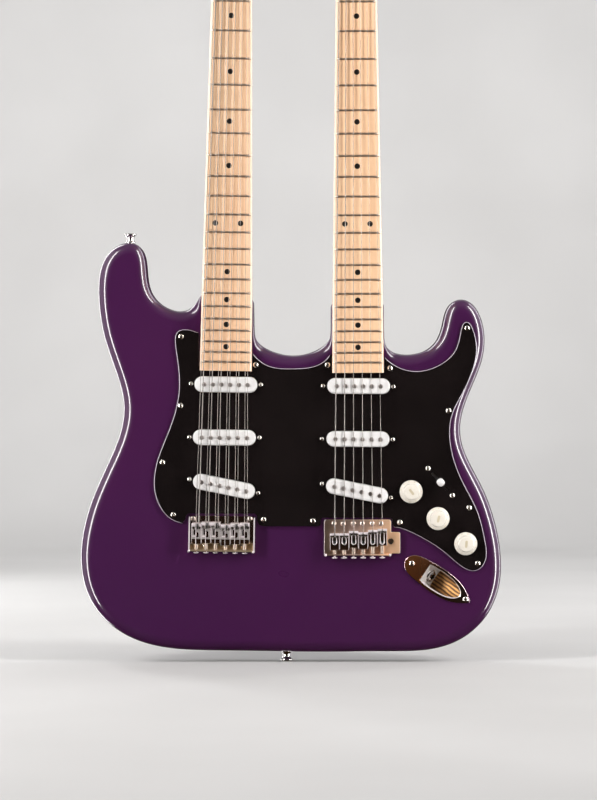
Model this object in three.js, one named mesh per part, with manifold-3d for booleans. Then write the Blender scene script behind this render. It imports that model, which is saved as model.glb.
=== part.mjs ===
// Double-neck electric guitar: a twelve-string neck (left) and a six-string neck (right) bolted to one solid body.
// Millimetres. +Z runs up the necks, the front faces -Y, +X is to the right seen from the front.
// The origin is the centre of the tail strap button's end face; y = 0 is the middle of the body's thickness.
import * as THREE from "three";
import { mergeVertices } from "three/addons/utils/BufferGeometryUtils.js";
import Module from "manifold-3d";

// ---------------------------------------------------------------- driving dimensions
const BODY_T = 44.5; // body thickness
const FRONT = -BODY_T / 2; // y of the body's top
const BACK = BODY_T / 2; // y of the body's back
const ROUND = 12.7; // roundover of both body edges
const GAP = 0.3; // clearance between pieces that touch
const BOARD_H = 9.5; // fingerboard top over the body's top, at the centreline
const BOARD_R = 241; // fingerboard radius
const POCKET = 15.9; // neck pocket depth
const FRET_H = 0.9;
const FRET_W = 2.2;
const FRETS = 22;
const STRING_NUT_H = 11.8; // string centre over the body's top at the nut
const STRING_SADDLE_H = 14.2; // and at the saddles
const HEAD_DROP = 6.35; // headstock face under the fingerboard's top
const HEAD_T = 14.2; // headstock thickness
const GUARD_T = 2.3; // pickguard thickness
const GUARD_TOP = 0.3 + GUARD_T; // pickguard's top over the body's top
const PICKUP_L = 69.0, // pickup cover, rounded ends
  PICKUP_W = 17.6,
  PICKUP_TOP = 8.0;
const KNOB_R = 12.6;
const TREM_GAP = 1.8; // floating plate over the body's top
const TREM_T = 2.4;
const TREM_PIVOT = [-25.3, 152.5]; // y, z of the tremolo's pivot line
const POOL_D = 19; // pickup cavity depth
const CONTROL_D = 38; // control cavity depth
const SPRING_D = 17; // spring cavity depth, from the back
const TUNER_PITCH_12 = 23.6,
  TUNER_PITCH_6 = 24.6;

// Each neck's centreline is x = x0 + slope * z; its width is w0 + wk * z.
const NECK12 = { x0: -71.7, slope: 0.015908, w0: 68.3, wk: -0.032257, nut: 796.2, end: 320.1, heel: 325.8, saddle: 148.2 };
const NECK6 = { x0: 79.97, slope: -0.00455, w0: 66.85, wk: -0.02956, nut: 795.4, end: 317.9, heel: 323.8, saddle: 147.4 };

// Body outline, clockwise seen from the front: from the right of the six-string neck round to the left of the twelve-string neck.
const OUTER = [
  [107.0,349.5],[111.7,344.4],[117.2,340.9],[124.1,338.8],[132.8,338.1],[142.3,339.2],[150.9,341.8],[157.8,345.6],[163.1,350.4],[167.3,356.6],[170.6,365.1],[174.4,380.9],
  [177.2,389.1],[180.5,393.9],[184.7,397.1],[189.8,398.8],[195.1,398.8],[200.3,397.0],[205.2,393.5],[209.8,387.7],[213.9,379.6],[216.8,369.4],[218.3,358.1],[218.0,346.5],
  [216.0,334.3],[211.5,320.2],[203.5,300.7],[196.4,282.6],[192.8,269.5],[191.5,258.3],[191.9,247.7],[194.2,237.1],[198.8,225.0],[207.7,207.3],[217.4,188.2],[224.4,170.7],
  [230.2,151.4],[234.3,132.0],[236.3,114.6],[236.4,99.3],[234.9,85.5],[231.7,72.9],[227.1,61.4],[221.0,50.8],[213.4,41.2],[204.7,32.9],[194.7,25.8],[183.7,20.2],
  [171.3,15.9],[157.2,12.9],[139.8,11.3],[118.0,10.9],[74.1,10.6],[30.3,10.5],[8.4,10.6],[-13.5,11.1],[-57.4,11.7],[-101.2,12.4],[-123.0,13.8],[-141.5,16.6],
  [-157.0,20.5],[-170.6,25.7],[-182.7,32.2],[-193.4,39.8],[-202.7,48.5],[-210.4,58.1],[-216.6,68.7],[-221.4,80.3],[-224.7,93.0],[-226.5,106.8],[-226.6,122.0],[-224.8,138.4],
  [-221.1,156.0],[-215.3,175.0],[-207.2,195.3],[-198.2,215.3],[-189.3,235.3],[-183.5,251.6],[-180.5,264.8],[-179.4,276.8],[-180.1,289.0],[-182.9,302.6],[-188.8,321.3],[-196.0,342.0],
  [-201.8,361.6],[-205.2,379.7],[-207.1,398.9],[-207.2,416.0],[-205.8,428.4],[-203.1,438.0],[-199.2,445.7],[-194.2,452.0],[-188.1,456.8],[-181.3,460.1],[-174.7,461.5],[-168.9,461.0],
  [-164.1,459.1],[-160.3,455.6],[-157.3,450.3],[-155.1,442.2],[-153.4,425.6],[-151.6,414.2],[-148.9,406.6],[-144.7,400.3],[-138.7,394.5],[-131.1,389.7],[-123.5,386.8],[-116.7,385.8],
  [-110.8,386.7],[-105.6,389.1],[-100.8,393.5],[-94.9,402.2],
];
// The cutaway between the necks, and the two neck shelves beside it.
const MIDDLE = [[-35.9,360.4],[-34.1,355.4],[-30.7,350.9],[-25.1,346.5],[-16.7,342.2],[-6.5,338.9],[3.3,337.3],[12.6,337.3],[21.9,339.0],[31.3,342.3],[39.2,346.6],[44.5,351.2],[47.7,355.7],[49.1,360.4]];
const SHELF12 = [[-94.0,403.3],[-92.5,403.7],[-39.1,399.0],[-37.0,398.2],[-36.3,396.2],[-35.9,378.0]];
const SHELF6 = [[49.0,376.0],[49.05,392.6],[49.7,394.2],[51.3,394.8],[104.8,394.8],[106.4,394.2],[107.05,392.6],[107.2,371.0]];
// Pickguard outline: left part, right part, and the edge between the necks.
const GUARD_LEFT = [[-95.6,361.6],[-100.1,363.6],[-105.8,365.4],[-112.0,366.0],[-117.0,365.2],[-120.4,362.7],[-122.2,358.9],[-122.8,353.7],[-122.2,345.9],[-119.8,328.5],[-118.3,312.8],[-118.4,299.5],[-120.1,286.4],[-123.4,272.5],[-137.0,236.1],[-142.4,220.8],[-145.0,209.0],[-145.9,198.6],[-145.3,188.9],[-143.3,179.9],[-140.0,171.9],[-135.7,165.0],[-130.6,159.5],[-125.0,155.6],[-119.2,153.3],[-113.2,152.4]];
const GUARD_BRIDGES = [[-110.9,157.5],[-110.2,161.4],[-107.6,163.4],[-35.0,163.4],[-33.0,161.6],[-32.0,154.5],[-29.4,150.6],[-24.6,149.5],[35.4,149.5],[37.3,151.0],[37.5,157.2],[39.2,158.9],[114.4,158.9],[116.0,157.6],[116.5,151.5]];
const GUARD_RIGHT = [[117.3,148.4],[125.4,146.7],[135.9,142.7],[152.9,133.9],[166.3,125.5],[190.2,106.0],[197.2,101.8],[202.8,100.0],[207.4,100.0],[211.5,101.6],[215.2,104.8],[218.2,109.5],[219.9,115.3],[220.2,122.4],[218.2,135.7],[214.0,154.4],[209.8,167.0],[192.9,200.8],[186.8,215.5],[182.7,229.1],[180.4,242.1],[179.9,253.9],[180.8,264.3],[183.3,273.9],[187.9,284.2],[196.8,300.8],[203.1,315.3],[207.3,328.4],[209.2,338.7],[209.3,348.0],[207.7,358.0],[204.9,366.9],[202.1,371.9],[198.9,374.2],[195.2,373.5],[192.8,370.0],[190.7,362.0],[187.8,349.5],[184.8,342.6],[180.5,336.7],[174.4,331.3],[166.4,326.3],[157.4,322.6],[148.5,320.6],[140.1,320.2],[131.9,321.5],[123.9,324.3],[115.7,329.0],[107.5,335.6]];
const GUARD_TOP_EDGE = [[48.1,338.9],[43.2,332.9],[37.5,328.7],[30.9,325.8],[22.4,324.0],[8.2,323.1],[-7.1,323.4],[-15.7,324.8],[-22.5,327.4],[-28.9,331.6],[-37.6,340.2]];
// Pickups: x, z and tilt in degrees (right end down).
const PICKUPS = {
  pickup_12_neck: [-66.4, 304.8, 0.8], pickup_12_middle: [-68.1, 246.6, 0.6], pickup_12_bridge: [-68.6, 193.0, 11.5],
  pickup_6_neck: [79.2, 303.1, 0.4], pickup_6_middle: [78.4, 245.0, 0.5], pickup_6_bridge: [77.3, 188.1, 11.4],
};
const KNOBS = { knob_volume: [136.8, 187.5], knob_tone_1: [166.3, 158.0], knob_tone_2: [196.7, 130.4] };
const SELECTOR = { at: [168.7, 198.0], along: [0.669, -0.743], pivotH: -14 }; // slot direction in x, z
const JACK = { at: [137.7, 108.6], along: [0.83, -0.557] }; // upper plate screw, and the plate's axis in x, z
const STRINGS12 = [-97.7, -87.0, -76.5, -65.7, -55.1, -44.5]; // pair centres at the saddles, world x
const STRINGS6 = [52.7, 63.14, 73.58, 84.02, 94.46, 104.9]; // world x at the saddles
const CREST6 = [140.7, 140.7, 143.1, 141.8, 144.2, 145.4]; // z of each six-string saddle's crest
const BLOCK_HOLE_Z = 132.5;
const ARM = [114.5, 133.0]; // x, z of the tremolo arm's socket

// ---------------------------------------------------------------- geometry helpers
const wasm = await Module();
wasm.setup();
const rad = THREE.MathUtils.degToRad;
const at = (h) => FRONT - h; // y of a height over the body's top

function bare(geometry) {
  const flat = geometry.index ? geometry.toNonIndexed() : geometry;
  return mergeVertices(new THREE.BufferGeometry().setAttribute("position", flat.getAttribute("position").clone()), 1e-4);
}
// A closed geometry as a solid; it is turned the right way out if its faces point in.
function solid(geometry) {
  const g = bare(geometry);
  const triVerts = new Uint32Array(g.index.array);
  const vertProperties = new Float32Array(g.attributes.position.array);
  let s = new wasm.Manifold(new wasm.Mesh({ numProp: 3, vertProperties, triVerts }));
  if (s.volume() < 0) {
    for (let i = 0; i < triVerts.length; i += 3) [triVerts[i + 1], triVerts[i + 2]] = [triVerts[i + 2], triVerts[i + 1]];
    s = new wasm.Manifold(new wasm.Mesh({ numProp: 3, vertProperties, triVerts }));
  }
  return s;
}
function geometryOf(s) {
  const m = s.getMesh(), n = m.numProp, v = new Float32Array(m.numVert * 3);
  for (let i = 0; i < m.numVert; i++) v.set(m.vertProperties.subarray(i * n, i * n + 3), i * 3);
  const g = new THREE.BufferGeometry().setAttribute("position", new THREE.BufferAttribute(v, 3)).setIndex(new THREE.BufferAttribute(new Uint32Array(m.triVerts), 1)).toNonIndexed();
  g.computeVertexNormals();
  return g;
}
const join = (...parts) => parts.flat().map((p) => (p.isBufferGeometry ? solid(p) : p)).reduce((a, b) => a.add(b));
const cut = (from, ...tools) => tools.flat().map((p) => (p.isBufferGeometry ? solid(p) : p)).reduce((a, b) => a.subtract(b), from.isBufferGeometry ? solid(from) : from);

// A polygon in x, z (front view), from y0 (front) to y1 (back).
function slab(points, y0, y1) {
  const shape = new THREE.Shape(points.map(([x, z]) => new THREE.Vector2(x, z)));
  return new THREE.ExtrudeGeometry(shape, { depth: y1 - y0, bevelEnabled: false, steps: 1 }).rotateX(Math.PI / 2).translate(0, y1, 0);
}
// A polygon in x, y (end view), from z0 to z1.
function bar(points, z0, z1) {
  const shape = new THREE.Shape(points.map(([x, y]) => new THREE.Vector2(x, y)));
  return new THREE.ExtrudeGeometry(shape, { depth: z1 - z0, bevelEnabled: false, steps: 1 }).translate(0, 0, z0);
}
// A polygon in y, z (side view), from x0 to x1.
function side(points, x0, x1) {
  const shape = new THREE.Shape(points.map(([y, z]) => new THREE.Vector2(y, z)));
  const m = new THREE.Matrix4().set(0, 0, 1, x0, 1, 0, 0, 0, 0, 1, 0, 0, 0, 0, 0, 1);
  return new THREE.ExtrudeGeometry(shape, { depth: x1 - x0, bevelEnabled: false, steps: 1 }).applyMatrix4(m);
}
const box = (x0, x1, y0, y1, z0, z1) => new THREE.BoxGeometry(x1 - x0, y1 - y0, z1 - z0).translate((x0 + x1) / 2, (y0 + y1) / 2, (z0 + z1) / 2);
const pin = (x, z, r, y0, y1, n = 8) => new THREE.CylinderGeometry(r, r, y1 - y0, n).translate(x, (y0 + y1) / 2, z);
// A pin along x, from x0 to x1.
const axle = (y, z, r, x0, x1, n = 8) => new THREE.CylinderGeometry(r, r, x1 - x0, n).rotateZ(Math.PI / 2).translate((x0 + x1) / 2, y, z);
// A polygon's outline with half-widths, symmetric about its axis: list of [along, half].
const boat = (list) => [...list.map(([a, h]) => [a, h]), ...list.slice().reverse().filter(([, h]) => h > 0.01).map(([a, h]) => [a, -h])];
// A rounded-end bar outline.
function pill(length, width, n = 5) {
  const r = width / 2, c = length / 2 - r, p = [];
  for (let i = 0; i <= n; i++) { const t = -Math.PI / 2 + (Math.PI * i) / n; p.push([c + r * Math.cos(t), r * Math.sin(t)]); }
  for (let i = 0; i <= n; i++) { const t = Math.PI / 2 + (Math.PI * i) / n; p.push([-c + r * Math.cos(t), r * Math.sin(t)]); }
  return p;
}
// The points of an outline that matter: those nearer than tol to the line through their neighbours are left out.
function thin(points, tol) {
  if (points.length < 3) return points;
  const [a, b] = [points[0], points[points.length - 1]], l = Math.hypot(b[0] - a[0], b[1] - a[1]) || 1;
  let worst = 0, k = 0;
  points.forEach(([x, z], i) => { const d = Math.abs((x - a[0]) * (b[1] - a[1]) - (z - a[1]) * (b[0] - a[0])) / l; if (d > worst) { worst = d; k = i; } });
  return worst > tol ? [...thin(points.slice(0, k + 1), tol).slice(0, -1), ...thin(points.slice(k), tol)] : [a, b];
}
// Rings of equal point counts joined into one closed skin; flatten gives a ring's 2D view for its cap.
function loft(rings, flatten = (p) => new THREE.Vector2(p[0], p[1])) {
  const n = rings[0].length, position = [], index = [];
  rings.forEach((r) => r.forEach((p) => position.push(...p)));
  for (let k = 0; k + 1 < rings.length; k++)
    for (let i = 0; i < n; i++) {
      const a = k * n + i, b = k * n + ((i + 1) % n), c = a + n, d = b + n;
      index.push(a, b, d, a, d, c);
    }
  const cap = (k, flip) => {
    for (const [a, b, c] of THREE.ShapeUtils.triangulateShape(rings[k].map(flatten), [])) index.push(...(flip ? [k * n + a, k * n + c, k * n + b] : [k * n + a, k * n + b, k * n + c]));
  };
  const ccw = !THREE.ShapeUtils.isClockWise(rings[0].map(flatten));
  cap(0, true); // the cap's triangles run anticlockwise whichever way the ring does
  cap(rings.length - 1, false);
  if (!ccw) for (let i = 0; i < 6 * n * (rings.length - 1); i += 3) [index[i + 1], index[i + 2]] = [index[i + 2], index[i + 1]];
  return new THREE.BufferGeometry().setAttribute("position", new THREE.Float32BufferAttribute(position, 3)).setIndex(index);
}
// A round string or rod through a list of points.
function rod(points, r, n = 6) {
  const p = points.map((q) => new THREE.Vector3(...q));
  const rings = p.map((q, i) => {
    const t = new THREE.Vector3();
    if (i > 0) t.add(q.clone().sub(p[i - 1]).normalize());
    if (i < p.length - 1) t.add(p[i + 1].clone().sub(q).normalize());
    t.normalize();
    const a = new THREE.Vector3(1, 0, 0).addScaledVector(t, -t.x).normalize(), b = t.clone().cross(a);
    return Array.from({ length: n }, (_, k) => {
      const w = (2 * Math.PI * k) / n;
      return q.clone().addScaledVector(a, r * Math.cos(w)).addScaledVector(b, r * Math.sin(w)).toArray();
    });
  });
  const position = rings.flat(2), index = [], m = rings.length;
  for (let k = 0; k + 1 < m; k++)
    for (let i = 0; i < n; i++) {
      const a = k * n + i, b = k * n + ((i + 1) % n);
      index.push(a, b, b + n, a, b + n, a + n);
    }
  for (let i = 1; i + 1 < n; i++) {
    index.push(0, i + 1, i);
    index.push((m - 1) * n, (m - 1) * n + i, (m - 1) * n + i + 1);
  }
  return new THREE.BufferGeometry().setAttribute("position", new THREE.Float32BufferAttribute(position, 3)).setIndex(index);
}

// ---------------------------------------------------------------- scene
const group = new THREE.Group();
const paint = (color, roughness, metalness) => new THREE.MeshStandardMaterial({ color, roughness, metalness });
const PURPLE = () => paint(0x3d1c47, 0.12, 0), MAPLE = () => paint(0xeec79a, 0.4, 0), CHROME = () => paint(0xd9d4cd, 0.1, 1),
  BLACK = () => paint(0x141414, 0.25, 0), WHITE = () => paint(0xf2f0ec, 0.3, 0), STEEL = () => paint(0xb9b6b0, 0.3, 1), BONE = () => paint(0xe9e2cf, 0.4, 0),
  BRASS = () => paint(0xb08a50, 0.35, 1);
function add(name, shape, material, parent = group) {
  const mesh = new THREE.Mesh(shape.isBufferGeometry ? shape : geometryOf(shape), material);
  mesh.name = name;
  parent.add(mesh);
  return mesh;
}
// Each neck's own frame: local x across the neck, local z up its centreline.
function neckFrame(N) {
  const g = new THREE.Group();
  g.position.set(N.x0, 0, 0);
  g.rotation.y = Math.atan(N.slope);
  g.updateMatrix();
  group.add(g);
  return g;
}
const frame12 = neckFrame(NECK12), frame6 = neckFrame(NECK6);
const toWorld = (frame, geometry) => geometry.clone().applyMatrix4(frame.matrix);
const localX = (N, x, z) => (x - N.x0 - N.slope * z) * Math.cos(Math.atan(N.slope));
const width = (N, v) => N.w0 + N.wk * v;
const arc = (u) => BOARD_R - Math.sqrt(BOARD_R * BOARD_R - u * u);

// ---------------------------------------------------------------- body
function roundedSlab(points, radii, y0, y1) {
  const p = points.map(([x, z]) => new THREE.Vector2(x, z)), n = p.length;
  const inward = p.map((q, i) => {
    const a = q.clone().sub(p[(i + n - 1) % n]).normalize(), b = p[(i + 1) % n].clone().sub(q).normalize();
    const na = new THREE.Vector2(a.y, -a.x), nb = new THREE.Vector2(b.y, -b.x); // to the right of a clockwise outline
    const m = na.add(nb).normalize();
    return m.multiplyScalar(1 / Math.max(0.75, m.dot(nb)));
  });
  const steps = [0, 45, 90].map(rad);
  const ring = (angle, front) => p.map((q, i) => {
    const r = radii[i], inset = r * (1 - Math.sin(angle)), depth = r * (1 - Math.cos(angle));
    const w = q.clone().addScaledVector(inward[i], inset);
    return [w.x, front ? y0 + depth : y1 - depth, w.y];
  });
  return loft([...steps.map((a) => ring(a, true)), ...steps.slice().reverse().map((a) => ring(a, false))], (q) => new THREE.Vector2(q[0], q[2]));
}
const around = [...OUTER.slice(0, 3), ...thin(OUTER.slice(3, -2), 0.35), ...OUTER.slice(-2)];
const outline = [...around, ...SHELF12, ...MIDDLE, ...SHELF6];
const radii = [
  ...around.map((_, i) => (i === 0 ? 3 : i === 1 ? 6 : i === 2 ? 9.5 : i === around.length - 1 ? 4 : i === around.length - 2 ? 8 : ROUND)),
  ...SHELF12.map(() => 2.2),
  ...MIDDLE.map((_, i) => { const k = Math.min(i, MIDDLE.length - 1 - i); return k === 0 ? 3 : k === 1 ? 6 : k === 2 ? 9.5 : ROUND; }),
  ...SHELF6.map(() => 2.2),
];
const deep = (h) => FRONT + h; // y at a depth under the body's top
const pocket = (N, frame) => toWorld(frame, slab([
  [-width(N, N.heel) / 2 - GAP, N.heel - GAP], [-width(N, 415) / 2 - GAP, 415], [width(N, 415) / 2 + GAP, 415], [width(N, N.heel) / 2 + GAP, N.heel - GAP],
], FRONT - 2, deep(POCKET) + GAP));
const SCREWS = (v) => [[-19, v - 25.5], [19, v - 25.5], [-19, v + 25.5], [19, v + 25.5]];
const PLATE_V = { 12: 358, 6: 355.5 };
const CAVITY_CONTROL = [[117, 196], [140, 208], [150, 228], [160, 226], [192, 190], [206, 150], [209, 128], [200, 117], [188, 117], [150, 146], [117, 176]];
const CAVITY_JACK = boat([[3, 7.6], [10, 11.0], [16, 12.6], [36, 13.5], [48, 12.6], [58, 10], [65.5, 6.4]]);
const TREM_WELL = [[43.4, 118.6], [113.4, 118.6], [113.4, 150], [43.4, 150]];

const jackFrame = new THREE.Group();
{
  const [ax, az] = JACK.along, s = Math.hypot(ax, az);
  const m = new THREE.Matrix4().makeBasis(new THREE.Vector3(ax / s, 0, az / s), new THREE.Vector3(-az / s, 0, ax / s), new THREE.Vector3(0, -1, 0));
  jackFrame.quaternion.setFromRotationMatrix(m);
  jackFrame.position.set(JACK.at[0], FRONT, JACK.at[1]);
  jackFrame.updateMatrix();
  group.add(jackFrame);
}
const flat = (points, n0, n1) => new THREE.ExtrudeGeometry(new THREE.Shape(points.map(([a, b]) => new THREE.Vector2(a, b))), { depth: n1 - n0, bevelEnabled: false, steps: 1 }).translate(0, 0, n0);

const body = cut(
  roundedSlab(outline, radii, FRONT, BACK),
  pocket(NECK12, frame12), pocket(NECK6, frame6),
  box(-109, -27, FRONT - 1, deep(POOL_D), 178, 317), // twelve-string pickup cavity
  box(36, 119, FRONT - 1, deep(POOL_D), 171, 315), // six-string pickup cavity
  box(-30, 40, FRONT - 1, deep(10), 238, 252), // wiring channel
  slab(CAVITY_CONTROL, FRONT - 1, deep(CONTROL_D)),
  toWorld(jackFrame, flat(CAVITY_JACK, -34, 2)),
  slab(TREM_WELL, FRONT - 1, BACK + 1),
  box(110, 121.6, FRONT - 1, -2, 121, 141.6), // room for the arm's lug
  box(47, 110, BACK - SPRING_D, BACK + 1, 149, 262), // spring cavity, from the back
  SCREWS(PLATE_V[12]).map(([u, v]) => toWorld(frame12, pin(u, v, 2.6, deep(POCKET) - 2, BACK + 1, 6))),
  SCREWS(PLATE_V[6]).map(([u, v]) => toWorld(frame6, pin(u, v, 2.6, deep(POCKET) - 2, BACK + 1, 6))),
  new THREE.CylinderGeometry(2.4, 2.4, 40, 6).rotateX(Math.PI / 2).translate(0, 0, 25),
  new THREE.CylinderGeometry(2.4, 2.4, 40, 6).rotateX(Math.PI / 2).translate(-172.9, 0, 450),
  [-13, 13].map((x) => new THREE.CylinderGeometry(2.4, 2.4, 30, 6).rotateX(Math.PI / 2).translate(78.5 + x, 14.6, 270)),
);
add("body", body, PURPLE());

// ---------------------------------------------------------------- pickguard
const slotAt = (half, r) => {
  const [dx, dz] = SELECTOR.along, [x, z] = SELECTOR.at;
  return [[-half, -r], [half, -r], [half, r], [-half, r]].map(([a, b]) => [x + a * dx - b * dz, z + a * dz + b * dx]);
};
const tilted = (geometry, [x, z, deg]) => geometry.rotateY(rad(deg)).translate(x, 0, z);
const guard = cut(
  slab([...thin(GUARD_LEFT, 0.25), ...GUARD_BRIDGES, ...thin(GUARD_RIGHT, 0.25), [107.6, NECK6.heel - 0.6], [49.3, NECK6.heel - 0.6], [49.3, 339.6], ...thin(GUARD_TOP_EDGE, 0.25), [-37.2, NECK12.heel - 0.6], [-96.1, NECK12.heel - 0.6]], at(GUARD_TOP), at(GAP)),
  Object.values(PICKUPS).map((p) => tilted(slab(pill(PICKUP_L + 1, PICKUP_W + 1), at(10), at(-4)), p)),
  Object.values(KNOBS).map(([x, z]) => pin(x, z, 5.3, at(10), at(-4), 8)),
  slab(slotAt(13.2, 1.5), at(10), at(-4)),
);
add("pickguard", guard, BLACK());

// ---------------------------------------------------------------- pickups
for (const [name, [x, z, deg]] of Object.entries(PICKUPS)) {
  const mesh = add(name, cut(slab(pill(PICKUP_L, PICKUP_W), at(PICKUP_TOP), at(-13))), WHITE());
  mesh.rotation.y = rad(deg);
  mesh.position.set(x, 0, z);
}

// ---------------------------------------------------------------- necks
const fretAt = (N, i) => N.nut - (N.nut - N.saddle) * (1 - 2 ** (-i / 12));
const crowned = (w, top, bottom) => [[-w / 2, at(top) + arc(w / 2)], [0, at(top)], [w / 2, at(top) + arc(w / 2)], [w / 2, at(bottom)], [-w / 2, at(bottom)]];
function neckRing(w, top, back, n, crown = true) {
  const yE = top + (crown ? arc(w / 2) : 0), yS = Math.min(yE + 5.5, back - 6), p = [[-w / 2, yE], [0, top], [w / 2, yE]];
  for (let i = 0; i <= 8; i++) {
    const t = (Math.PI * i) / 8, c = Math.cos(t), s = Math.sin(t);
    p.push([(w / 2) * Math.sign(c) * Math.abs(c) ** (2 / n), yS + (back - yS) * Math.abs(s) ** (2 / n)]);
  }
  p[3][0] = w / 2; p[11][0] = -w / 2;
  return p;
}
const HEAD_Y = at(BOARD_H - HEAD_DROP), HEAD_BACK = HEAD_Y + HEAD_T;
function neck(N, frame, head, holes, plateV) {
  const T = at(BOARD_H), n = N.nut, heelBack = deep(POCKET);
  const stations = [
    [N.end, T, heelBack, 14], [402, T, heelBack, 14], [409, T, heelBack - 0.3, 7], [418, T, heelBack - 1.0, 4], [430, T, T + 23.7, 2.9], [448, T, T + 23.0, 2.4],
    [n - 330, T, T + 22.4, 2.3], [n - 30, T, T + 20.8, 2.3], [n + 4.6, T, HEAD_BACK, 2.4],
  ].map(([v, top, back, e]) => neckRing(width(N, Math.min(v, n)), top, back, e).map(([x, y]) => [x, y, v]));
  for (const [dv, top] of [[6.5, T + 2.2], [10, T + 4.4], [16, HEAD_Y - 0.05]]) stations.push(neckRing(width(N, n), top, HEAD_BACK, 3, false).map(([x, y]) => [x, y, n + dv]));
  const blank = join(loft(stations), slab(head.map(([u, v]) => [u, n + v]), HEAD_Y, HEAD_BACK));
  const frets = Array.from({ length: FRETS }, (_, i) => {
    const v = fretAt(N, i + 1), w = width(N, v) - 0.6;
    return bar(crowned(w, BOARD_H + FRET_H, BOARD_H - 2.2), v - FRET_W / 2, v + FRET_W / 2);
  });
  const cutters = [
    box(-40, 40, at(GUARD_TOP + 0.4), 10, N.end - 1, N.heel), // the fingerboard's end hangs over the pickguard
    box(-40, 40, at(BOARD_H + 3), at(BOARD_H - 3.2), n, n + 3.4), // nut slot
    box(-3.3, 3.3, T + 5.6, T + 14.2, N.heel - 2, n + 21), // truss rod channel, open at the heel and behind the nut
    box(-3.3, 3.3, HEAD_Y - 6, T + 14.2, n + 9, n + 21),
    ...holes.map(([u, v]) => pin(u, n + v, 3.9, HEAD_Y - 5, HEAD_BACK + 5, 8)),
    ...SCREWS(plateV).map(([u, v]) => pin(u, v, 2.6, at(-1.5), heelBack + 3, 6)),
  ];
  return cut(join(blank, frets), cutters);
}
// Post rows: [u, v] from the nut, along a straight line.
const lineOf = (u0, v0, deg, pitch, side) => {
  const dx = Math.sin(rad(deg)), dz = Math.cos(rad(deg));
  return { u0, v0, dx, dz, deg, side, posts: Array.from({ length: 6 }, (_, i) => [u0 + dx * pitch * i, v0 + dz * pitch * i]), pitch };
};
const ROWS = {
  left: lineOf(-24.6, 40, 1.66, TUNER_PITCH_12, -1),
  right: lineOf(24.6, 40, -1.66, TUNER_PITCH_12, 1),
  six: lineOf(-20.5, 34, 13.5, TUNER_PITCH_6, -1),
};
const HEAD12_RIGHT = [[21.4, 8], [21.8, 14], [24.6, 22], [30.6, 31], [35.4, 41], [36.6, 54], [36.2, 90], [34.8, 130], [33.3, 160], [31.4, 172], [27, 179.5], [18, 183.8], [8, 185.6]];
const HEAD12 = [...HEAD12_RIGHT, [0, 186], ...HEAD12_RIGHT.slice().reverse().map(([u, v]) => [-u, v])];
const HEAD6 = [[-21.6, 8], [-22.2, 13], [-25.2, 18], [-30.2, 21.2], [-33.4, 24.6], [-33.8, 29], [-0.6, 167.3], [3.4, 177], [11, 183.4], [20.5, 185.6], [29.3, 183.4], [35.2, 177], [37.3, 167.5], [36.6, 150], [34.2, 115], [31.2, 80], [28.2, 50], [25.2, 30], [22.8, 18], [21.6, 8]];
add("neck_12", neck(NECK12, frame12, HEAD12, [...ROWS.left.posts, ...ROWS.right.posts], PLATE_V[12]), MAPLE(), frame12);
add("neck_6", neck(NECK6, frame6, HEAD6, ROWS.six.posts, PLATE_V[6]), MAPLE(), frame6);
for (const [tag, N, frame] of [["12", NECK12, frame12], ["6", NECK6, frame6]]) {
  const n = N.nut;
  add("nut_" + tag, cut(bar(crowned(width(N, n) - 0.4, BOARD_H + 1.55, BOARD_H - 2.9), n + 0.3, n + 3.1)), BONE(), frame);
  // a steel rod of eight sides in its channel, with the adjusting nut behind the string nut
  const oct = [[-2.9, -2], [-1.7, -3.9], [1.7, -3.9], [2.9, -2], [2.9, 2], [1.7, 3.9], [-1.7, 3.9], [-2.9, 2]].map(([x, y]) => [x, y + at(BOARD_H) + 9.9]);
  add("truss_rod_" + tag, cut(bar(oct, N.heel + 0.5, n + 18)), STEEL(), frame);
  // neck plate and its four screws: through the body into the heel
  const v = PLATE_V[tag];
  add("neck_plate_" + tag, join(box(-25.5, 25.5, BACK + GAP, BACK + GAP + 1.6, v - 32, v + 32), SCREWS(v).map(([u, w]) => [pin(u, w, 2.1, at(-2.4), BACK + 1, 6), pin(u, w, 4.3, BACK + 1.6, BACK + 3.6, 8)]).flat()), CHROME(), frame);
}

// ---------------------------------------------------------------- tuners
const STRIP_Y = HEAD_BACK + GAP; // the strip lies on the headstock's back
const KEY_Y = STRIP_Y + 4.7; // key axis
const POST_TOP = HEAD_Y - 11;
const rows = {};
function rowFrame(row, N, frame) {
  const g = new THREE.Group(); // local x points outwards to the keys, local z along the row
  g.position.set(row.u0, 0, N.nut + row.v0);
  g.rotation.y = rad(row.deg) + (row.side < 0 ? Math.PI : 0);
  g.userData.flip = row.side < 0 ? -1 : 1;
  frame.add(g);
  return g;
}
function strip(row, withPosts) {
  const f = row.side < 0 ? -1 : 1; // the row runs along -z of a turned group
  const zs = Array.from({ length: 6 }, (_, i) => f * i * row.pitch), z0 = Math.min(...zs) - 11, z1 = Math.max(...zs) + 11;
  const parts = [box(-7, 7.2, STRIP_Y, STRIP_Y + 1.2, z0, z1)];
  for (const z of zs) parts.push(box(-6.4, 8.4, STRIP_Y + 0.6, STRIP_Y + 8.6, z - 5.6, z + 5.6));
  const tools = [];
  for (const z of zs) {
    tools.push(axle(KEY_Y, z, 2.0, 2.8, 12, 6));
    if (!withPosts) tools.push(pin(0, z, 3.3, STRIP_Y - 2, STRIP_Y + 6.6, 8)); // the post's bearing hole, closed by the housing's lid
  }
  let s = cut(join(parts), tools);
  if (withPosts) s = join(s, zs.map((z) => pin(0, z, 3.0, POST_TOP, STRIP_Y + 1, 8)));
  return s;
}
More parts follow.
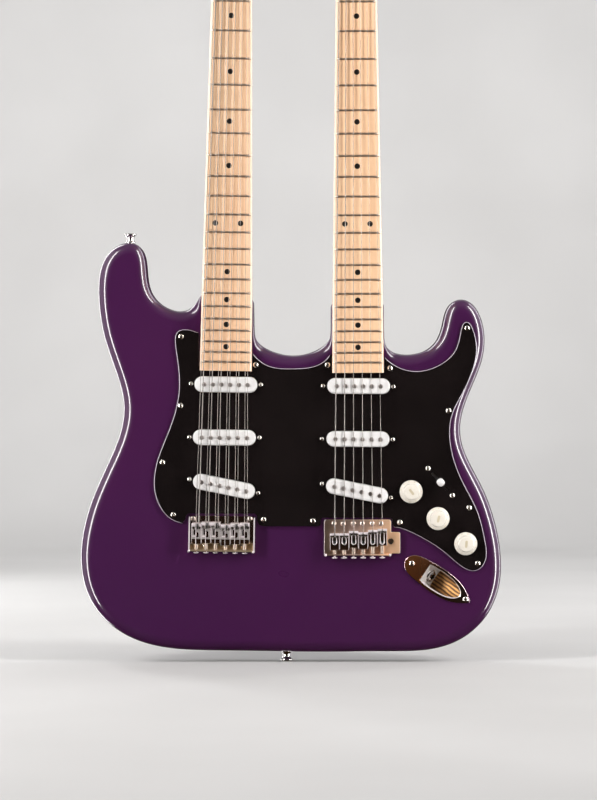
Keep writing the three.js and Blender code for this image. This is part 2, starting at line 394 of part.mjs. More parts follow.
// A key: a worm shaft and an oval button.
function key() {
  const profile = [[0, 15.4], [6.6, 16.6], [8.5, 21.6], [5.8, 27.0], [0, 28.0]].map(([r, q]) => new THREE.Vector2(r, q));
  const button = new THREE.LatheGeometry(profile, 8).scale(0.46, 1, 1).rotateZ(-Math.PI / 2);
  return join(axle(0, 0, 1.55, 3.2, 17, 5), button);
}
function tuners(rowName, N, frame, stripName, keyName, firstKey, withPosts) {
  const row = ROWS[rowName], g = rowFrame(row, N, frame), f = row.side < 0 ? -1 : 1;
  add(stripName, strip(row, withPosts), CHROME(), g);
  for (let i = 0; i < 6; i++) {
    const k = add(keyName(firstKey + i), key(), CHROME(), g);
    k.position.set(0, KEY_Y, f * i * row.pitch);
    if (!withPosts) {
      const p = add("tuner_post_6_" + (i + 1), pin(0, 0, 2.9, POST_TOP, STRIP_Y + 6.2, 8), CHROME(), g);
      p.position.set(0, 0, f * i * row.pitch);
    }
  }
  rows[rowName] = { g, row };
}
const two = (i) => String(i).padStart(2, "0");
tuners("left", NECK12, frame12, "tuner_strip_12_left", (i) => "tuner_key_12_" + two(i), 1, true);
tuners("right", NECK12, frame12, "tuner_strip_12_right", (i) => "tuner_key_12_" + two(i), 7, true);
tuners("six", NECK6, frame6, "tuner_strip_6", (i) => "tuner_key_6_" + i, 1, false);

// y of a string's centre at the nut and at the saddles, and of the saddles' crests under it
const nutY = (u) => at(STRING_NUT_H) + arc(u), saddleY = (u) => at(STRING_SADDLE_H) + arc(u) * 0.55, crest = (u) => saddleY(u) + 0.75;

// ---------------------------------------------------------------- twelve-string bridge: a tray with side walls, a rear wall and six saddles
{
  const N = NECK12, x0 = -37.85, x1 = 34.75; // local x of the tray, its centre a little left of the neck's line
  const zr = 122, zf = 160.8, base = at(GAP), top = at(2.8);
  const saddles = STRINGS12.map((x, i) => {
    const u = localX(N, x, 150), z = [151.2, 152.4, 152.4, 150.2, 151.6, 152.2][i], top = crest(Math.abs(u) + 1.5);
    return side([[at(2.4), z + 1.2], [top + 0.9, z + 1.2], [top, z], [top + 0.4, z - 1.6], [at(7.2), z - 20], [at(2.4), z - 20]], u - 4.7, u + 4.7);
  });
  const windows = STRINGS12.map((x) => { const u = localX(N, x, 123); return box(u - 2.9, u + 2.9, at(9.2), at(5.6), zr - 2, zr + 4); });
  const tray = cut(join(box(x0, x1, top, base, zr, zf), box(x0, x0 + 1.8, at(8.6), at(1), zr, zf - 3), box(x1 - 1.8, x1, at(8.6), at(1), zr, zf - 3), box(x0, x1, at(11), at(1), zr, zr + 2), saddles), windows);
  add("bridge_12", tray, CHROME(), frame12);
}

// ---------------------------------------------------------------- tremolo
{
  const p0 = at(TREM_GAP), p1 = at(TREM_GAP + TREM_T);
  const plate = [[41.3, 116.6], [114.8, 116.6], [115.6, 119.6], [124.8, 119.6], [124.8, 143.1], [114.8, 143.1], [114.8, 156.9], [41.3, 156.9]];
  const rear = box(41.3, 114.8, at(TREM_GAP + TREM_T + 6.8), p0, 116.6, 118.6); // raised rear lip
  add("tremolo_plate", cut(join(slab(plate, p1, p0), cut(rear, STRINGS6.map((x) => box(x - 1.8, x + 1.8, at(9), at(5.4), 115, 120)))), STRINGS6.map((x) => pin(x, BLOCK_HOLE_Z, 2.1, at(20), at(0), 6)), pin(...ARM, 3.2, at(20), at(0), 12)), CHROME());
  const saddle = (x, i) => {
    const z = CREST6[i], top = crest(localX(NECK6, x, z));
    return cut(side([[at(4.5), z + 1.3], [top + 0.9, z + 1.3], [top, z], [top + 0.7, z - 1.9], [at(9.5), z - 8], [at(9), z - 17.5], [at(4.5), z - 17.5]], x - 5.28, x + 5.28),
      box(x - 1.7, x + 1.7, at(20), at(0), z - 15.5, z - 0.5));
  };
  add("saddles_6", join(STRINGS6.map(saddle)), CHROME());
  const blockTop = p0 + GAP, blockEnd = 10.5;
  add("tremolo_block", cut(join(box(45.4, 111.4, blockTop, blockEnd, 127, 144.5), box(110, 119.2, blockTop, -5, 127, 139.6)),
    STRINGS6.map((x) => pin(x, BLOCK_HOLE_Z, 2.1, -40, 20, 6)), pin(...ARM, 3.2, -40, -8, 12), [-15, 0, 15].map((dx) => pin(78.5 + dx, 138.4, 1.6, 4, 12, 6))), STEEL());
  // three springs in a row, hooked over the block's end and on a claw
  const springY = 14.6, claw = box(56, 101, 10.6, 18.6, 226, 228.4);
  const springs = [-15, 0, 15].map((dx) => [
    new THREE.CylinderGeometry(3.6, 3.6, 77, 8).rotateX(Math.PI / 2).translate(78.5 + dx, springY, 188.5),
    rod([[78.5 + dx, springY, 151], [78.5 + dx, springY, 140.2], [78.5 + dx, 13.0, 138.4], [78.5 + dx, 6, 138.4]], 0.9, 6),
  ]).flat();
  const clawScrews = [-13, 13].map((dx) => new THREE.CylinderGeometry(1.9, 1.9, 57, 6).rotateX(Math.PI / 2).translate(78.5 + dx, springY, 226.5 + 28));
  add("tremolo_springs", join(claw, springs, clawScrews), STEEL());
}
add("rear_cover", cut(slab([[36, 112], [38, 110], [119, 110], [121, 112], [121, 270], [119, 272], [38, 272], [36, 270]], BACK + GAP, BACK + GAP + 1.9), slab([[48, 126], [109, 126], [109, 139], [48, 139]], BACK - 3, BACK + 6)), BLACK());

// ---------------------------------------------------------------- strings
{
  const N = NECK12, parts = [], n = N.nut;
  for (let i = 0; i < 6; i++)
    for (const s of [-1, 1]) {
      const ub = localX(N, STRINGS12[i], 150) + s * 1.5, un = -17.2 + i * 6.88 + s * 1.15;
      const k = i * 2 + (s > 0 ? 1 : 0); // 0 … 11 from the left
      const left = k < 6, j = left ? k : 11 - k; // j: row position, the outermost string on the first post
      const [pu, pv] = (left ? ROWS.left : ROWS.right).posts[j];
      const end = [pu + (left ? 3.9 : -3.9), HEAD_Y - 6.2, n + pv];
      parts.push(rod([[ub, at(7.3), 118], [ub, at(7.5), 123], [ub, saddleY(ub), 151.5], [un, nutY(un), n + 1.7], end], 0.4, 4));
    }
  parts.push(box(-30, 29, at(8.1), at(6.5), 117, 118.8)); // ball ends, joined
  add("strings_12", join(parts), STEEL(), frame12);
}
{
  const N = NECK6, parts = [], n = N.nut;
  for (let i = 0; i < 6; i++) {
    const z = CREST6[i], ub = localX(N, STRINGS6[i], z), un = -18.1 + i * 7.24, [pu, pv] = ROWS.six.posts[i];
    parts.push(rod([[ub, 11.6, BLOCK_HOLE_Z], [ub, at(4.4), BLOCK_HOLE_Z], [ub, saddleY(ub), z - 0.4], [un, nutY(un), n + 1.7], [pu + 3.9, HEAD_Y - 6.2, n + pv]], 0.4, 4));
  }
  parts.push(box(-28, 27, 11.0, 12.2, BLOCK_HOLE_Z - 1, BLOCK_HOLE_Z + 1)); // ball ends, joined
  add("strings_6", join(parts), STEEL(), frame6);
}

// ---------------------------------------------------------------- controls
{
  // knobs with their shafts; profile: radius, height over the body's top
  const profile = [[0, -9.5], [3, -9.5], [3, 7.5], [7.4, 7.5], [7.4, 3.4], [KNOB_R, 3.4], [KNOB_R, 4.8], [9.7, 6.6], [8.8, 15.2], [8, 16], [0, 16]].map(([r, h]) => new THREE.Vector2(r, h));
  for (const [name, [x, z]] of Object.entries(KNOBS)) {
    const k = add(name, cut(new THREE.LatheGeometry(profile, 12).rotateX(Math.PI)), WHITE());
    k.position.set(x, FRONT, z);
  }
  // shield plate with three pots and the selector's frame under the pickguard
  const inset = [[119, 194], [141, 205], [151, 226], [159, 224], [190, 189], [204, 149.6], [206.8, 129], [199, 119.2], [189, 119.2], [151, 148], [119, 178]];
  const pots = Object.values(KNOBS).map(([x, z]) => [pin(x, z, 8.4, at(-0.9), at(11.5 - 23), 10), pin(x, z, 4.7, at(6.4), at(-1), 8), new THREE.CylinderGeometry(6.3, 6.3, 2, 6).translate(x, at(4.2), z)]).flat();
  const [dx, dz] = SELECTOR.along, [sx, sz] = SELECTOR.at;
  const turned = (g) => g.rotateY(-Math.atan2(dz, dx)).translate(sx, 0, sz); // local x runs along the slot
  const frameBox = turned(box(-22, 22, at(-1), at(-20), -6.5, 6.5));
  const hollow = turned(box(-19, 19, at(3), at(-18.5), -3.4, 3.4));
  add("control_pots", cut(join(slab(inset, at(-0.5), at(-1.2)), pots, frameBox), hollow, Object.values(KNOBS).map(([x, z]) => pin(x, z, 3.4, at(9), at(-10.4), 8))), STEEL());
  // selector lever: a pivot barrel, a steel blade and a tip; local x along the slot, local y through the body
  const lever = join(
    new THREE.CylinderGeometry(2.6, 2.6, 5.6, 8).rotateX(Math.PI / 2),
    box(-2.2, 2.2, -21, 0.5, -0.7, 0.7),
    new THREE.LatheGeometry([[0, -30.6], [2.7, -30.2], [4.4, -28.2], [4.4, -25.2], [3.0, -20.4], [0, -20.4]].map(([r, y]) => new THREE.Vector2(r, y)), 10),
  );
  const l = add("selector_lever", lever, WHITE());
  l.rotation.y = -Math.atan2(dz, dx);
  l.position.set(sx, at(SELECTOR.pivotH), sz);
}

// ---------------------------------------------------------------- jack plate and jack, in the plate's frame: x along, y across, z out of the body
{
  const W = [0.861, 0.508], C = [25.4, -11.4]; // the jack's axis in x, z, and the middle of its wall
  const plate = flat(boat([[-8.2, 0], [-7.2, 4], [-4.6, 7.8], [0, 10.8], [8, 12.8], [20, 14.1], [36, 14.8], [47, 13.9], [57, 12], [65, 8.7], [71, 5.2], [75, 2.2], [76.4, 0]]), GAP, GAP + 1.3);
  const across = (points, half) => new THREE.ExtrudeGeometry(new THREE.Shape(points.map(([a, n]) => new THREE.Vector2(a, n))), { depth: 2 * half, bevelEnabled: false, steps: 1 }).rotateX(Math.PI / 2).translate(0, half, 0);
  const outer = solid(across([[16.4, 0.9], [30.4, -24], [33, -24], [65, 0.9]], 15)).intersect(solid(flat(boat([[16, 12.1], [36, 13.0], [48, 12.1], [58, 9.5], [65, 6]]), -30, 1.2)));
  const inner = solid(across([[17.9, 4], [17.9, 0.6], [31.2, -22.4], [32.6, -22.4], [63.2, 0.6], [63.2, 4]], 15)).intersect(solid(flat(boat([[17, 10.9], [36, 11.8], [48, 10.9], [57, 8.5], [64, 5.0]]), -30, 5)));
  const along = (g) => g.rotateZ(-Math.PI / 2).rotateY(-Math.atan2(W[1], W[0])).translate(C[0], 0, C[1]); // cylinder axis y to the jack's axis
  add("jack_plate", cut(join(plate, outer), inner, along(new THREE.CylinderGeometry(5.2, 5.2, 12, 10)), [0, 71].map((a) => new THREE.CylinderGeometry(1.9, 1.9, 8, 6).rotateX(Math.PI / 2).translate(a, 0, 0))), CHROME(), jackFrame);
  const ring = [[3.2, -13], [4.6, -13], [4.6, -4.4], [7.2, -4.4], [7.2, -2.5], [4.6, -2.5], [4.6, 0], [6.2, 0], [6.2, 2.1], [4.7, 2.1], [4.7, 3.2], [3.2, 3.2], [3.2, -13]].map(([r, w]) => new THREE.Vector2(r, w));
  add("output_jack", cut(along(new THREE.LatheGeometry(ring, 10))), CHROME(), jackFrame);
}

// ---------------------------------------------------------------- strap buttons
function strapButton(length) {
  // profile from the end face at y = 0 down to the body, then the screw
  const p = [[0, 0], [5.6, 0], [6.6, 0.9], [6.4, 1.8], [4.0, 4.2], [3.9, length - 2.2], [5.4, length - GAP], [2.0, length - GAP], [2.0, length + 24], [0, length + 24]];
  return cut(new THREE.LatheGeometry(p.map(([r, y]) => new THREE.Vector2(r, y)), 12));
}
add("strap_button_tail", strapButton(10.6), CHROME()).rotation.x = Math.PI / 2; // local y to +Z
{
  const b = add("strap_button_horn", strapButton(10.6), CHROME());
  b.rotation.x = -Math.PI / 2;
  b.position.set(-172.9, 0, 472.1);
}

export default group;
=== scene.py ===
"""Looks of a double-neck electric guitar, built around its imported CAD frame. Shapes are worked out in millimetres and made in metres."""
import math
import random

import bmesh
import bpy
import numpy as np
from mathutils import Matrix, Vector


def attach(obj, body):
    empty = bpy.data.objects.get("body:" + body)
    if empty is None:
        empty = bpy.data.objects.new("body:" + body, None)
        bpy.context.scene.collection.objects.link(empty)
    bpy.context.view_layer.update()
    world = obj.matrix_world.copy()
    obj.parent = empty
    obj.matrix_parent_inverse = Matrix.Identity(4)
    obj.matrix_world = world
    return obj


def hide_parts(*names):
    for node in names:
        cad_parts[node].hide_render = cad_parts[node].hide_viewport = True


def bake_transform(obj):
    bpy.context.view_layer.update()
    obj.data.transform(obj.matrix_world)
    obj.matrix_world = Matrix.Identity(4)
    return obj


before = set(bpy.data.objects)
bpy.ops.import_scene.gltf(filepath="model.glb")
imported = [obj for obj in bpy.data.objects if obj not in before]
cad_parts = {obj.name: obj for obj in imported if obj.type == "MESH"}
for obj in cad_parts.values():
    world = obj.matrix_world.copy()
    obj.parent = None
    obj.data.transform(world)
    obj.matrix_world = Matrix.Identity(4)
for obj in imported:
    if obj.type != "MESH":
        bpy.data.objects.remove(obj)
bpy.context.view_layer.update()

scene = bpy.context.scene
MM = 0.001
rad = math.radians
GUITAR, TREM = "guitar", "tremolo"

# ------------------------------------------------------------------ dimensions shared with the CAD, in millimetres
FRONT, BACK = -22.25, 22.25
ROUND = 12.7
BOARD_H, BOARD_R = 9.5, 241.0
TOP = FRONT - BOARD_H
HEAD_Y = TOP + 6.35
HEAD_T = 14.2
HEAD_BACK = HEAD_Y + HEAD_T
NUT_H, SADDLE_H = 11.8, 14.2
GUARD_H = 2.6
NECK12 = dict(x0=-71.7, slope=0.015908, w0=68.3, wk=-0.032257, nut=796.2, end=320.1, heel=325.8, saddle=148.2)
NECK6 = dict(x0=79.97, slope=-0.00455, w0=66.85, wk=-0.02956, nut=795.4, end=317.9, heel=323.8, saddle=147.4)
STRINGS12 = [-97.7, -87.0, -76.5, -65.7, -55.1, -44.5]
STRINGS6 = [52.7, 63.14, 73.58, 84.02, 94.46, 104.9]
CREST12 = [151.2, 152.4, 152.4, 150.2, 151.6, 152.2]
CREST6 = [140.7, 140.7, 143.1, 141.8, 144.2, 145.4]
PICKUPS = {
    "pickup_12_neck": (-66.4, 304.8, 0.8, 9.55), "pickup_12_middle": (-68.1, 246.6, 0.6, 9.9), "pickup_12_bridge": (-68.6, 193.0, 11.5, 10.0),
    "pickup_6_neck": (79.2, 303.1, 0.4, 9.6), "pickup_6_middle": (78.4, 245.0, 0.5, 9.9), "pickup_6_bridge": (77.3, 188.1, 11.4, 10.1),
}
KNOBS = {"knob_volume": (136.8, 187.5, 37.0), "knob_tone_1": (166.3, 158.0, -14.0), "knob_tone_2": (196.7, 130.4, -6.0)}
SELECTOR = (168.7, 198.0, 0.669, -0.743)
JACK = (137.7, 108.6, 0.83, -0.557)

OUTER = [(107.0,349.5),(111.7,344.4),(117.2,340.9),(124.1,338.8),(132.8,338.1),(142.3,339.2),(150.9,341.8),(157.8,345.6),(163.1,350.4),(167.3,356.6),(170.6,365.1),(174.4,380.9),(177.2,389.1),(180.5,393.9),(184.7,397.1),(189.8,398.8),(195.1,398.8),(200.3,397.0),(205.2,393.5),(209.8,387.7),(213.9,379.6),(216.8,369.4),(218.3,358.1),(218.0,346.5),(216.0,334.3),(211.5,320.2),(203.5,300.7),(196.4,282.6),(192.8,269.5),(191.5,258.3),(191.9,247.7),(194.2,237.1),(198.8,225.0),(207.7,207.3),(217.4,188.2),(224.4,170.7),(230.2,151.4),(234.3,132.0),(236.3,114.6),(236.4,99.3),(234.9,85.5),(231.7,72.9),(227.1,61.4),(221.0,50.8),(213.4,41.2),(204.7,32.9),(194.7,25.8),(183.7,20.2),(171.3,15.9),(157.2,12.9),(139.8,11.3),(118.0,10.9),(96.0,10.9),(74.1,10.6),(52.2,10.4),(30.3,10.4),(8.4,10.6),(-13.5,11.1),(-35.5,11.4),(-57.4,11.7),(-79.3,11.9),(-101.2,12.4),(-123.0,13.8),(-141.5,16.6),(-157.0,20.5),(-170.6,25.7),(-182.7,32.2),(-193.4,39.8),(-202.7,48.5),(-210.4,58.1),(-216.6,68.7),(-221.4,80.3),(-224.7,93.0),(-226.5,106.8),(-226.6,122.0),(-224.8,138.4),(-221.1,156.0),(-215.3,175.0),(-207.2,195.3),(-198.2,215.3),(-189.3,235.3),(-183.5,251.6),(-180.5,264.8),(-179.4,276.8),(-180.1,289.0),(-182.9,302.6),(-188.8,321.3),(-196.0,342.0),(-201.8,361.6),(-205.2,379.7),(-207.1,398.9),(-207.2,416.0),(-205.8,428.4),(-203.1,438.0),(-199.2,445.7),(-194.2,452.0),(-188.1,456.8),(-181.3,460.1),(-174.7,461.5),(-168.9,461.0),(-164.1,459.1),(-160.3,455.6),(-157.3,450.3),(-155.1,442.2),(-153.4,425.6),(-151.6,414.2),(-148.9,406.6),(-144.7,400.3),(-138.7,394.5),(-131.1,389.7),(-123.5,386.8),(-116.7,385.8),(-110.8,386.7),(-105.6,389.1),(-100.8,393.5),(-94.9,402.2)]
MIDDLE = [(-35.9,360.4),(-34.1,355.4),(-30.7,350.9),(-25.1,346.5),(-16.7,342.2),(-6.5,338.9),(3.3,337.3),(12.6,337.3),(21.9,339.0),(31.3,342.3),(39.2,346.6),(44.5,351.2),(47.7,355.7),(49.1,360.4)]
SHELF12 = [(-94.0,403.3),(-92.5,403.7),(-39.1,399.0),(-37.0,398.2),(-36.3,396.2),(-35.9,378.0)]
SHELF6 = [(49.0,376.0),(49.05,392.6),(49.7,394.2),(51.3,394.8),(104.8,394.8),(106.4,394.2),(107.05,392.6),(107.2,371.0)]
GUARD_LEFT = [(-95.6,361.6),(-100.1,363.6),(-105.8,365.4),(-112.0,366.0),(-117.0,365.2),(-120.4,362.7),(-122.2,358.9),(-122.8,353.7),(-122.2,345.9),(-119.8,328.5),(-118.3,312.8),(-118.4,299.5),(-120.1,286.4),(-123.4,272.5),(-129.1,255.8),(-137.0,236.1),(-142.4,220.8),(-145.0,209.0),(-145.9,198.6),(-145.3,188.9),(-143.3,179.9),(-140.0,171.9),(-135.7,165.0),(-130.6,159.5),(-125.0,155.6),(-119.2,153.3),(-113.2,152.4)]
GUARD_BRIDGES = [(-110.9,157.5),(-110.2,161.4),(-107.6,163.4),(-35.0,163.4),(-33.0,161.6),(-32.0,154.5),(-29.4,150.6),(-24.6,149.5),(35.4,149.5),(37.3,151.0),(37.5,157.2),(39.2,158.9),(114.4,158.9),(116.0,157.6),(116.5,151.5)]
GUARD_RIGHT = [(117.3,148.4),(125.4,146.7),(135.9,142.7),(152.9,133.9),(166.3,125.5),(178.3,116.0),(190.2,106.0),(197.2,101.8),(202.8,100.0),(207.4,100.0),(211.5,101.6),(215.2,104.8),(218.2,109.5),(219.9,115.3),(220.2,122.4),(218.2,135.7),(214.0,154.4),(209.8,167.0),(202.6,182.1),(192.9,200.8),(186.8,215.5),(182.7,229.1),(180.4,242.1),(179.9,253.9),(180.8,264.3),(183.3,273.9),(187.9,284.2),(196.8,300.8),(203.1,315.3),(207.3,328.4),(209.2,338.7),(209.3,348.0),(207.7,358.0),(204.9,366.9),(202.1,371.9),(198.9,374.2),(195.2,373.5),(192.8,370.0),(190.7,362.0),(187.8,349.5),(184.8,342.6),(180.5,336.7),(174.4,331.3),(166.4,326.3),(157.4,322.6),(148.5,320.6),(140.1,320.2),(131.9,321.5),(123.9,324.3),(115.7,329.0),(107.5,335.6)]
GUARD_EDGE = [(48.1,338.9),(43.2,332.9),(37.5,328.7),(30.9,325.8),(22.4,324.0),(8.2,323.1),(-7.1,323.4),(-15.7,324.8),(-22.5,327.4),(-28.9,331.6),(-37.6,340.2)]
HEAD12_RIGHT = [(21.4,8),(21.8,14),(24.6,22),(30.6,31),(35.4,41),(36.6,54),(36.2,90),(34.8,130),(33.3,160),(31.4,172),(27,179.5),(18,183.8),(8,185.6),(0.3,186)]
HEAD6_LEFT = [(-21.6,8),(-22.2,13),(-25.2,18),(-30.2,21.2),(-33.4,24.6),(-33.8,29),(-0.6,167.3),(3.4,177),(11,183.4),(20.2,185.6)]
HEAD6_RIGHT = [(21.6,8),(22.8,18),(25.2,30),(28.2,50),(31.2,80),(34.2,115),(36.6,150),(37.3,167.5),(35.2,177),(29.3,183.4),(20.8,185.6)]


def px(x, y):
    """A point of the body's front plane from where it shows in the picture."""
    return (x - 286.5) / 0.910, (662 - y) / 0.910


# ------------------------------------------------------------------ shape tools
def arc(u):
    return BOARD_R - math.sqrt(BOARD_R * BOARD_R - u * u)


def smoothstep(t):
    t = min(1.0, max(0.0, t))
    return t * t * (3 - 2 * t)


def spline(points, step):
    """Points of a natural cubic spline through the given ones, about step apart."""
    p = np.array(points, float)
    t = np.concatenate([[0], np.cumsum(np.linalg.norm(np.diff(p, axis=0), axis=1))])
    n = len(p)
    h = np.diff(t)
    a = np.zeros((n, n))
    b = np.zeros((n, p.shape[1]))
    a[0, 0] = a[-1, -1] = 1
    for i in range(1, n - 1):
        a[i, i - 1], a[i, i], a[i, i + 1] = h[i - 1], 2 * (h[i - 1] + h[i]), h[i]
        b[i] = 6 * ((p[i + 1] - p[i]) / h[i] - (p[i] - p[i - 1]) / h[i - 1])
    m = np.linalg.solve(a, b)
    s = np.linspace(0, t[-1], max(2, int(round(t[-1] / step)) + 1))
    k = np.clip(np.searchsorted(t, s, side="right") - 1, 0, n - 2)
    d, e, w = (s - t[k])[:, None], (t[k + 1] - s)[:, None], h[k][:, None]
    return m[k] * e**3 / (6 * w) + m[k + 1] * d**3 / (6 * w) + (p[k] / w - m[k] * w / 6) * e + (p[k + 1] / w - m[k + 1] * w / 6) * d


def straight(points, step):
    p, out = np.array(points, float), []
    for a, b in zip(p[:-1], p[1:]):
        n = max(1, int(round(np.linalg.norm(b - a) / step)))
        out += [a + (b - a) * i / n for i in range(n)]
    return np.array(out + [p[-1]])


def relax(points, sigma):
    """A closed outline evened out without shrinking its tight curves; sigma is the reach at each point, in steps."""
    first = average(points, sigma)
    return first + average(np.array(points, float) - first, sigma)


def average(points, sigma):
    p, out, n = np.array(points, float), np.zeros_like(points), len(points)
    reach = int(3 * max(sigma)) + 1
    total = np.zeros(n)
    s = np.maximum(np.array(sigma, float), 0.05)
    for k in range(-reach, reach + 1):
        w = np.exp(-0.5 * (k / s) ** 2)
        out += w[:, None] * np.roll(p, -k, axis=0)
        total += w
    return out / total[:, None]


def inward(points):
    """Unit normals to the right of a closed outline."""
    p = np.array(points, float)
    t = np.roll(p, -1, axis=0) - np.roll(p, 1, axis=0)
    t /= np.linalg.norm(t, axis=1)[:, None]
    return np.stack([t[:, 1], -t[:, 0]], axis=1)


class Geo:
    """Vertices and faces in millimetres, with a material index for each face."""

    def __init__(self, part=None, mat=0, M=None):
        self.v, self.f, self.m = [], [], []
        if part is not None:
            self.add(part, mat, M)

    def add(self, part, mat=0, M=None):
        verts, faces = (part.v, part.f) if isinstance(part, Geo) else part
        base = len(self.v)
        self.v.extend(tuple(M @ Vector(p)) if M is not None else tuple(p) for p in verts)
        self.f.extend(tuple(i + base for i in f) for f in faces)
        self.m.extend(list(part.m) if isinstance(part, Geo) and mat == 0 else [mat] * len(faces))
        return self


def loft(rings, caps=True, closed=True):
    n, v, f = len(rings[0]), [tuple(p) for r in rings for p in r], []
    for k in range(len(rings) - 1):
        for i in range(n if closed else n - 1):
            a, b = k * n + i, k * n + (i + 1) % n
            f.append((a, b, b + n, a + n))
    if caps:
        f.append(tuple(reversed(range(n))))
        f.append(tuple(range((len(rings) - 1) * n, len(rings) * n)))
    return v, f


def prism(points, y0, y1):
    """An outline in x, z (front view) from y0 to y1."""
    return loft([[(x, y0, z) for x, z in points], [(x, y1, z) for x, z in points]])


def flat(points, n0, n1):
    """An outline in local x, y from n0 to n1 along local z."""
    return loft([[(x, y, n0) for x, y in points], [(x, y, n1) for x, y in points]])


def sidewise(points, x0, x1):
    """An outline in y, z (side view) from x0 to x1."""
    return loft([[(x0, y, z) for y, z in points], [(x1, y, z) for y, z in points]])


def box(x0, x1, y0, y1, z0, z1):
    return prism([(x0, z0), (x1, z0), (x1, z1), (x0, z1)], y0, y1)


def lathe(profile, n=32):
    """Profile of (radius, height) about local z; a point of radius 0 closes the end."""
    v, f, rows = [], [], []
    for r, t in profile:
        if r < 1e-6:
            rows.append([len(v)])
            v.append((0, 0, t))
        else:
            rows.append(list(range(len(v), len(v) + n)))
            v += [(r * math.cos(2 * math.pi * i / n), r * math.sin(2 * math.pi * i / n), t) for i in range(n)]
    for a, b in zip(rows[:-1], rows[1:]):
        for i in range(n):
            j = (i + 1) % n
            if len(a) == 1 and len(b) > 1:
                f.append((a[0], b[i], b[j]))
            elif len(b) == 1 and len(a) > 1:
                f.append((a[i], b[0], a[j]))
            elif len(a) > 1:
                f.append((a[i], b[i], b[j], a[j]))
    return v, f


def rod(r, t0, t1, n=24, chamfer=0.0):
    c = chamfer
    p = [(0, t0), (r - c, t0)] + ([(r, t0 + c)] if c else []) + ([(r, t1 - c)] if c else []) + [(r - c, t1), (0, t1)]
    return lathe(p, n)


def tube(points, radius, n=8, ends=True):
    """A round tube through points; radius is one number or one for each point."""
    p = [Vector(q) for q in points]
    rr = [radius] * len(p) if isinstance(radius, (int, float)) else radius
    tangents = []
    for i in range(len(p)):
        t = Vector()
        if i > 0:
            t += (p[i] - p[i - 1]).normalized()
        if i < len(p) - 1:
            t += (p[i + 1] - p[i]).normalized()
        tangents.append(t.normalized())
    a = tangents[0].orthogonal().normalized()
    rings = []
    for q, t, r in zip(p, tangents, rr):
        a = (a - t * a.dot(t)).normalized()
        b = t.cross(a)
        rings.append([tuple(q + (a * math.cos(2 * math.pi * k / n) + b * math.sin(2 * math.pi * k / n)) * r) for k in range(n)])
    return loft(rings, caps=ends)


def helix(r, t0, t1, turns, per=14):
    k = int(turns * per)
    return [(r * math.cos(2 * math.pi * i / per), r * math.sin(2 * math.pi * i / per), t0 + (t1 - t0) * i / k) for i in range(k + 1)]


def pill(length, width, n=10):
    r, out = width / 2, []
    c = length / 2 - r
    for i in range(n + 1):
        t = -math.pi / 2 + math.pi * i / n
        out.append((c + r * math.cos(t), r * math.sin(t)))
    for i in range(n + 1):
        t = math.pi / 2 + math.pi * i / n
        out.append((-c + r * math.cos(t), r * math.sin(t)))
    return out


def rounded(points, radius, n=5):
    """A polygon with its corners filleted; radius is one number or one for each corner."""
    out, m = [], len(points)
    for i, q in enumerate(points):
        r = radius[i] if isinstance(radius, (list, tuple)) else radius
        p0, p1, p2 = Vector(points[i - 1]), Vector(q), Vector(points[(i + 1) % m])
        a, b = (p0 - p1).normalized(), (p2 - p1).normalized()
        ang = a.angle(b)
        if r <= 0 or ang > 3.1:
            out.append(tuple(p1))
            continue
        d = min(r / math.tan(ang / 2), 0.49 * (p0 - p1).length, 0.49 * (p2 - p1).length)
        r = d * math.tan(ang / 2)
        centre = p1 + (a + b).normalized() * (r / math.sin(ang / 2))
        s, e = p1 + a * d - centre, p1 + b * d - centre
        sweep = math.atan2(s.x * e.y - s.y * e.x, s.dot(e))
        for k in range(n + 1):
            w = sweep * k / n
            out.append((centre.x + s.x * math.cos(w) - s.y * math.sin(w), centre.y + s.x * math.sin(w) + s.y * math.cos(w)))
    return out


def rect(x0, x1, z0, z1):
    return [(x0, z0), (x1, z0), (x1, z1), (x0, z1)]


def edged(points, y_front, y_back, edge=0.5, steps=3):
    """A plate whose front edge is rounded by edge: points are its outline, clockwise or not."""
    p = np.array(points, float)
    area = np.sum(p[:, 0] * np.roll(p[:, 1], -1) - np.roll(p[:, 0], -1) * p[:, 1])
    if area > 0:
        p = p[::-1]
    n, rings = inward(p), []
    for k in range(steps + 1):
        t = math.pi / 2 * k / steps
        q = p + n * edge * (1 - math.sin(t))
        rings.append([(x, y_front + edge * (1 - math.cos(t)), z) for x, z in q])
    rings.append([(x, y_back, z) for x, z in p])
    return loft(rings)


FACE = Matrix(((1, 0, 0, 0), (0, 0, -1, 0), (0, 1, 0, 0), (0, 0, 0, 1)))  # local z points out of the front
REAR = Matrix(((-1, 0, 0, 0), (0, 0, 1, 0), (0, 1, 0, 0), (0, 0, 0, 1)))  # local z points out of the back


def on_top(x, z, h=0.0, spin=0.0):
    return Matrix.Translation((x, FRONT - h, z)) @ FACE @ Matrix.Rotation(spin, 4, "Z")


def on_back(x, z, h=0.0, spin=0.0):
    return Matrix.Translation((x, BACK + h, z)) @ REAR @ Matrix.Rotation(spin, 4, "Z")


def neck_frame(N):
    return Matrix.Translation((N["x0"], 0, 0)) @ Matrix.Rotation(math.atan(N["slope"]), 4, "Y")


F12, F6 = neck_frame(NECK12), neck_frame(NECK6)


def local_x(N, x, z):
    return (x - N["x0"] - N["slope"] * z) * math.cos(math.atan(N["slope"]))


def width(N, v):
    return N["w0"] + N["wk"] * v - 0.8 * smoothstep((410 - v) / 90)


# ------------------------------------------------------------------ objects
def raw(name, geo, mats):
    me = bpy.data.meshes.new(name)
    me.from_pydata([(x * MM, y * MM, z * MM) for x, y, z in geo.v], [], geo.f)
    for m in mats:
        me.materials.append(m)
    me.polygons.foreach_set("material_index", geo.m)
    bm = bmesh.new()
    bm.from_mesh(me)
    bmesh.ops.recalc_face_normals(bm, faces=bm.faces)
    bm.to_mesh(me)
    bm.free()
    ob = bpy.data.objects.new(name, me)
    scene.collection.objects.link(ob)
    return ob


